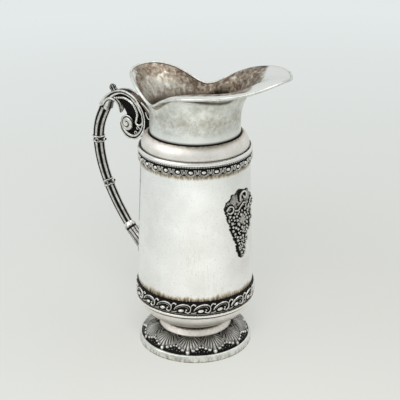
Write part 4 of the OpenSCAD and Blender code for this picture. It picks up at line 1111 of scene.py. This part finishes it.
# Leaf that sheathes the branch and curls under the scroll
sheath = smoothLine(polar(scroll["sheath"]), 60)
folds = [(a, abs(math.sin(3 * a))) for a in fullTurn(40)]
sheathSections = []
for s in taper(60, scroll["sheathSizes"]):
    sheathSections.append([
        (1.75 * s * math.cos(a), s * (1 - 0.2 * f ** 3) * math.sin(a), 0.85 * f ** 5) for a, f in folds])
bracket.addSweep(sheath, pathAims(sheath), sheathSections)

# Pad, filling plate and leaf tongues against the neck and shoulder
pad = smoothLine(polar(scroll["pad"]) + [(-neckR - 0.8, zNeck - 1.5)], 40)
padSections = []
for s in taper(40, scroll["padSizes"]):
    padSections.append([(s * math.cos(a), 0.5 * s * math.sin(a), 0.04 + 0.3 * f ** 4) for a, f in folds])
bracket.addSweep(pad, pathAims(pad), padSections, 0.0, scroll["padFilm"])
filling = insideEdge(*scroll["fill"], 24, scroll["fillInset"])
filling += [np.array([-neckR - 0.3, zNeck - 8.0]), np.array([-neckR - 0.3, zNeck + 4])]
bracket.addPlate(filling, scroll["fillHalf"], 0.85)
leafTongue = smoothLine(polar(scroll["tongue"]), 50)
tongueSections = [roundSection(scroll["tongueWire"], 0.1, 10)] * 50
for side in (-1, 1):
    bracket.addSweep(leafTongue, pathAims(leafTongue), tongueSections, side * scroll["tongueOut"])
bracket.finish("handle_bracket_cast", "handle_bracket")

# Thumb bud on the back of the scroll
budAim = aimAt(handle["budAngle"])
budShare = handle["budAngle"] / handle["scrollStart"]
budDepth = handle["scrollDepth"] + (2 * handle["branchTop"] - handle["scrollDepth"]) * budShare ** 3
budBase = eye + (scrollReach(handle["budAngle"]) + budDepth / 2 - handle["budSink"]) * budAim
bud = Cluster()
budPath, budSections = [], []
for s in np.linspace(0, 1, 24):
    q = 0.75 * math.exp(-(s / 0.16) ** 2) + 0.98 * math.sin(math.pi * min(1, max(0.05, s))) ** 0.6
    q = q * handle["bud"] / 2
    outline = []
    for a in fullTurn(48):
        fold = abs(math.sin(4 * a))
        r = q * (1 - 0.1 * fold)
        outline.append((r * math.cos(a), r * math.sin(a), 0.35 + 0.6 * fold ** 3))
    budPath.append(budBase + s * (handle["bud"] + handle["budSink"]) * budAim)
    budSections.append(outline)
bud.addSweep(budPath, [budAim] * len(budPath), budSections)
bud.finish("thumb_bud_cast", "thumb_bud")

# Leafy cup between the branch and the barrel
cup = {
    "rows": 60, "lobes": 5, "points": 60, "opens": 0.3, "notch": 0.13, "veinDepth": 0.25,
    # rings at the cup's top and the black line between them, as strength, place along the cup and width
    "rings": ((1.1, 0.1, 0.05), (0.8, 0.22, 0.03)), "ringLine": (0.9, 0.165, 0.025),
    "leafRows": 24, "leafAt": 0.62, "leafLine": [(0, 0), (-3, -7), (1, -12), (4, -16)],
    "leafSizes": [(0, 3.6), (0.4, 3.9), (0.85, 2.0), (1, 0.7)],
}
start = collar + gap * collarAim
cupPull = seat + np.array([-0.3 * handle["collarOut"], 0.15 * handle["collarUp"]])
cupRoot = seat + np.array([1.2, -1.0])
cupCurve = [start, start - 0.45 * handle["collarOut"] * collarAim, cupPull, cupRoot]
calyx = Cluster()
cupSteps = np.linspace(0, 1, cup["rows"])
cupSections = []
for t in cupSteps:
    r = handle["branchLow"] + (handle["calyx"] - handle["branchLow"]) * t ** 1.4
    ringUp = sum(rise * bell(t, place, width) for rise, place, width in cup["rings"])
    ringLine = cup["ringLine"][0] * bell(t, *cup["ringLine"][1:])
    opened = min(1, t / cup["opens"])
    outline = []
    for a in fullTurn(cup["points"]):
        groove = abs(math.sin(cup["lobes"] * a)) ** 0.5
        vein = 0.5 + 0.5 * math.cos(4 * cup["lobes"] * a)
        q = r + ringUp + (cup["notch"] * r * (groove - 0.6) - cup["veinDepth"] * vein) * opened
        dark = (1 - groove + 0.35 * vein) * opened + ringLine
        outline.append((q * math.cos(a), q * math.sin(a), min(1, dark)))
    cupSections.append(outline)
calyx.addSweep(*curveLine(cupCurve, cupSteps), cupSections)
drop = bezier(cupCurve, cup["leafAt"])
leafCurve = [drop + np.array(place) for place in cup["leafLine"]]
leafFolds = [(a, abs(math.cos(3 * a))) for a in fullTurn(36)]
leafSections = []
for q in taper(cup["leafRows"], cup["leafSizes"]):
    leafSections.append([
        (1.35 * q * math.cos(a), q * (1 - 0.15 * f) * math.sin(a), 0.8 * f ** 4) for a, f in leafFolds])
calyx.addSweep(*curveLine(leafCurve, np.linspace(0, 1, cup["leafRows"])), leafSections)
calyx.finish("handle_calyx_cast", "handle_calyx")
print("handle: branches, knots, scroll, bud, cup")


# Grape mount under the spout: relief on the barrel, its border dipping just under the surface

mount = {
    "low": level("grape_mount"), "high": level("grape_mount", True), "half": 21, "cell": 0.28,
    "plate": 0.9, "margin": 1.3, "full": 3.6, "sink": 0.5, "crownCells": 5, "crownFall": 1.35,
    # outline as (height above the tip, half width)
    "outline": [(0, 0.6), (2, 2.4), (7, 3.8), (14, 6.4), (25, 10.6), (36, 15.4), (47, 18.6), (53, 19.4),
                (57, 17.2), (60.5, 12.4), (63.2, 7.2), (65, 1.5)],
    "grapes": 96, "grapeSmall": 1.0, "grapeLarge": 2.2, "grapeSpace": 0.9, "grapeTries": 6000,
    # leaves as centre, radius, turn, height; the last one lies among the grapes
    "leaves": [((0, 55.5), 7.6, 90, 1.9), ((-12.6, 51.5), 6.6, 130, 1.7), ((12.6, 51.5), 6.6, 50, 1.7),
               ((-8.4, 57.6), 5.4, 115, 1.5), ((8.4, 57.6), 5.4, 65, 1.5), ((0.6, 37.5), 6.4, 270, 2.6)],
    "leafClear": 4.6,
    # strokes as path, half width at both ends, lift
    "strokes": [
        ([(-3.4, 57), (-3.2, 61.5), (0.4, 63.6), (4.2, 62), (4.9, 58.6), (2.2, 57.2), (0.8, 59.4)],
         1.35, 0.9, 2.9),
        ([(-9.5, 48.5), (-6, 48), (-3, 50.6), (0.4, 53), (3.6, 52.4)], 0.9, 0.7, 2.6),
        ([(9.5, 48.5), (7.4, 46.2), (4.8, 47.4), (4.4, 50)], 0.9, 0.7, 2.4),
        ([(-18, 50.4), (-15.4, 53.4), (-11.8, 52.2), (-11.6, 48.6), (-14.6, 47.0), (-17.2, 48.4)],
         0.95, 0.8, 2.7),
        ([(18, 50.4), (15.4, 53.4), (11.8, 52.2), (11.6, 48.6), (14.6, 47.0), (17.2, 48.4)], 0.95, 0.8, 2.7),
    ],
}
below = -1.2  # level of spots outside the mount
xs = np.arange(-mount["half"], mount["half"], mount["cell"])[None, :]
ys = np.arange(-1, mount["high"] - mount["low"] + 1, mount["cell"])[:, None]
gx, gy = xs + 0 * ys, ys + 0 * xs
tall, wide = zip(*mount["outline"])
halfWidth = np.interp(gy, tall, wide, left=-1, right=-1) + 0.35 * np.sin(1.9 * gy) * (gy > 12)
plate = mount["plate"] - 0.5 * (np.abs(gx) / 20) ** 2
relief = np.where(np.abs(gx) < halfWidth - mount["margin"], plate, below)

# Grapes: each new one keeps clear of the earlier ones and of the leaf among them
random = np.random.default_rng(17)
leafPlace = mount["leaves"][-1][0]
grapes = []
for _ in range(mount["grapeTries"]):
    y = random.uniform(1.6, 47)
    reach = float(np.interp(y, tall, wide))
    size = random.uniform(mount["grapeSmall"], mount["grapeLarge"]) * (0.75 + 0.25 * min(1, y / 20))
    x = random.uniform(-1, 1) * max(reach - 0.6 * size, 0.4)
    onLeaf = math.hypot(x - leafPlace[0], y - leafPlace[1]) < mount["leafClear"]
    if onLeaf or any(math.hypot(x - a, y - b) < mount["grapeSpace"] * (size + c) for a, b, c in grapes):
        continue
    grapes.append((x, y, size))
    if len(grapes) == mount["grapes"]:
        break
for x, y, size in grapes:
    ball = boss(gx, gy, (x, y), size, size, 1.15 * size)
    lift = 0.9 + 0.8 * math.cos(x / 14)
    relief = np.where(ball > 0, np.maximum(relief, ball + lift), relief)


# One vine leaf of five lobes with veins.
def vineLeaf(x, y, centre, size, turn, height):
    u, v = x - centre[0], y - centre[1]
    r = np.hypot(u, v)
    a = np.arctan2(v, u) - math.radians(turn)
    edgeR = size * (0.7 + 0.3 * np.abs(np.cos(2.5 * a)) ** 0.7) * (1 + 0.06 * np.cos(21 * a))
    dome = 1 - (r / edgeR) ** 2
    vein = 0.7 * (1 - np.abs(np.sin(2.5 * a)) ** 0.3)
    fine = 0.16 * np.cos(2 * math.pi * (r + 1.2 * np.abs(np.sin(2.5 * a))) / 1.3)
    leafTop = height * (0.5 + 0.5 * np.clip(dome, 0, 1) ** 0.5) + vein + fine
    return np.where(dome > 0, leafTop, below)


for centre, size, turn, rise in mount["leaves"]:
    relief = np.maximum(relief, vineLeaf(gx, gy, centre, size, turn, rise))
for line, w0, w1, lift in mount["strokes"]:
    stroke = ridge(gx, gy, line, w0, w1, 1.5, 60)
    relief = np.where(stroke > 0, np.maximum(relief, lift + stroke - 1.0), relief)
# Only the crowns are rubbed bright: the tone falls with the drop from the highest spot close by.
crown = relief
for step in range(1, mount["crownCells"] + 1):
    for axis in (0, 1):
        crown = np.maximum.reduce([crown, np.roll(relief, step, axis), np.roll(relief, -step, axis)])
fallen = (crown - relief) / mount["crownFall"]
mountDepth = np.clip(np.maximum(fallen, sunken(np.clip(relief, 0, None), mount["full"], 4)) + 0.04, 0, 1)
kept = relief > 0
kept = np.logical_or.reduce([kept] + [np.roll(kept, step, axis) for step in (1, -1) for axis in (0, 1)])
mountZ = mount["low"] + gy
mountTurn = gx / barrelRadius(mountZ)


def onBarrel(lift):
    r = barrelRadius(mountZ) + fit + lift
    return np.stack([r * np.cos(mountTurn), r * np.sin(mountTurn), mountZ], -1)


mountPiece = shell("grape_mount_cast", onBarrel(np.maximum(relief, -0.2)), onBarrel(-mount["sink"]), kept,
                   mountDepth, castSilver)
settle(mountPiece, "oxidised_silver", "grape_mount")
print("grape mount")


# Floor, light and camera

# Seamless pale paper: matt, with painted shade that makes it a little darker round the ewer, and seen and
# mirrored at an even brightness.
floorLook = {
    "near": "#D5D6D1", "far": "#EBF1F1", "nearReach": 0.25, "farReach": 1.4, "middle": (0.18, 0.01, 0.0),
    "size": 8.0, "glow": 0.75, "mirrorGlow": 0.45,
}
bpy.ops.mesh.primitive_plane_add(size=floorLook["size"], location=(0, 0, 0))
floor = bpy.context.object
floor.name = "studio_floor"
floorMaterial = bpy.data.materials.new("seamless_paper_painted_shade")
floorMaterial.use_nodes = True
tree = floorMaterial.node_tree
tree.nodes.clear()
place = addNode(tree, "ShaderNodeTexCoord").outputs["Object"]
reach = addNode(tree, "ShaderNodeVectorMath", {0: place, 1: floorLook["middle"]}, operation="DISTANCE")
fade = addNode(tree, "ShaderNodeMapRange", {
    "Value": reach.outputs["Value"], "From Min": floorLook["nearReach"], "From Max": floorLook["farReach"]})
# Painted shade: the paper's colour darkens towards the ewer.
paperAndPaintedShade = addNode(tree, "ShaderNodeMix", {
    mixFactor: fade.outputs["Result"], mixA: linear(floorLook["near"]), mixB: linear(floorLook["far"])},
    data_type="RGBA").outputs[mixOut]
rays = addNode(tree, "ShaderNodeLightPath")
mirrored = addNode(tree, "ShaderNodeMath", {
    0: rays.outputs["Is Glossy Ray"], 1: rays.outputs["Is Transmission Ray"]}, operation="MAXIMUM")
dimmed = addNode(tree, "ShaderNodeMath", {
    0: mirrored.outputs[0], 1: floorLook["mirrorGlow"]}, operation="MULTIPLY")
share = addNode(tree, "ShaderNodeMath", {
    0: rays.outputs["Is Camera Ray"], 1: floorLook["glow"], 2: dimmed.outputs[0]}, operation="MULTIPLY_ADD")
paper = addNode(tree, "ShaderNodeBsdfDiffuse", {"Color": paperAndPaintedShade})
glow = addNode(tree, "ShaderNodeEmission", {"Color": paperAndPaintedShade, "Strength": 1.0})
blend = addNode(tree, "ShaderNodeMixShader", {0: share.outputs[0], 1: paper.outputs[0], 2: glow.outputs[0]})
addNode(tree, "ShaderNodeOutputMaterial", {"Surface": blend.outputs[0]})
floor.data.materials.append(floorMaterial)

# Studio walls. Seen directly or mirrored in the silver, they are a step brighter than the light they give.
walls = {"low": "#E2E5E4", "high": "#F4F6F6", "highFrom": 0.6, "light": 0.66, "seen": 0.3}
world = bpy.data.worlds.new("studio")
scene.world = world
world.use_nodes = True
tree = world.node_tree
tree.nodes.clear()
direction = addNode(tree, "ShaderNodeTexCoord").outputs["Generated"]
height = addNode(tree, "ShaderNodeSeparateXYZ", {0: direction}).outputs["Z"]
ramp = addNode(tree, "ShaderNodeValToRGB", {"Fac": height})
stops = ((0, walls["low"]), (walls["highFrom"], walls["high"]))
for element, (position, colour) in zip(ramp.color_ramp.elements, stops):
    element.position = position
    element.color = linear(colour)
rays = addNode(tree, "ShaderNodeLightPath")
shown = addNode(tree, "ShaderNodeMath", {
    0: rays.outputs["Is Glossy Ray"], 1: rays.outputs["Is Camera Ray"]}, operation="MAXIMUM")
strength = addNode(tree, "ShaderNodeMath", {
    0: shown.outputs[0], 1: walls["seen"], 2: walls["light"]}, operation="MULTIPLY_ADD")
sky = addNode(tree, "ShaderNodeBackground", {"Color": ramp.outputs["Color"], "Strength": strength.outputs[0]})
addNode(tree, "ShaderNodeOutputWorld", {"Surface": sky.outputs[0]})


# A square softbox, in metres and watts. One that isn't mirrored lights the floor and leaves the metal alone,
# because metal shows only what it mirrors.
def softbox(name, place, aim, size, power, mirrored=True):
    lamp = bpy.data.lights.new(name, "AREA")
    lamp.shape = "RECTANGLE"
    lamp.size = size
    lamp.size_y = size
    lamp.energy = power
    box = bpy.data.objects.new(name, lamp)
    box.location = place
    box.rotation_euler = (Vector(aim) - Vector(place)).to_track_quat("-Z", "Y").to_euler()
    box.visible_glossy = mirrored
    scene.collection.objects.link(box)


softbox("key_softbox", (-0.5, -1.1, 1.3), (0, 0, 0.12), 1.6, 8)
softbox("floor_softbox", (0.25, -0.34, 0.6), (0.2, -0.29, 0), 0.25, 4.2, False)
softbox("top_softbox", (0.4, 0.4, 1.6), (0, 0, 0.1), 1.0, 5)

view = {
    "distance": 1.062, "azimuth": -52.0, "elevation": 22.65, "aimHeight": 0.1383,
    "focalPixels": 1180, "width": 400, "axisPixel": 195.23, "sensor": 36,
}
cameraData = bpy.data.cameras.new("photo_camera")
cameraData.sensor_width = view["sensor"]
cameraData.lens = view["focalPixels"] / view["width"] * view["sensor"]
cameraData.shift_x = (view["width"] / 2 - view["axisPixel"]) / view["width"]
camera = bpy.data.objects.new("photo_camera", cameraData)
turn, lean = math.radians(view["azimuth"]), math.radians(view["elevation"])
away = Vector((math.cos(lean) * math.cos(turn), math.cos(lean) * math.sin(turn), math.sin(lean)))
camera.location = Vector((0, 0, view["aimHeight"])) + view["distance"] * away
camera.rotation_euler = (-away).to_track_quat("-Z", "Y").to_euler()
scene.collection.objects.link(camera)
scene.camera = camera
scene.view_settings.view_transform = "Standard"
print("stage: floor, softboxes, camera")
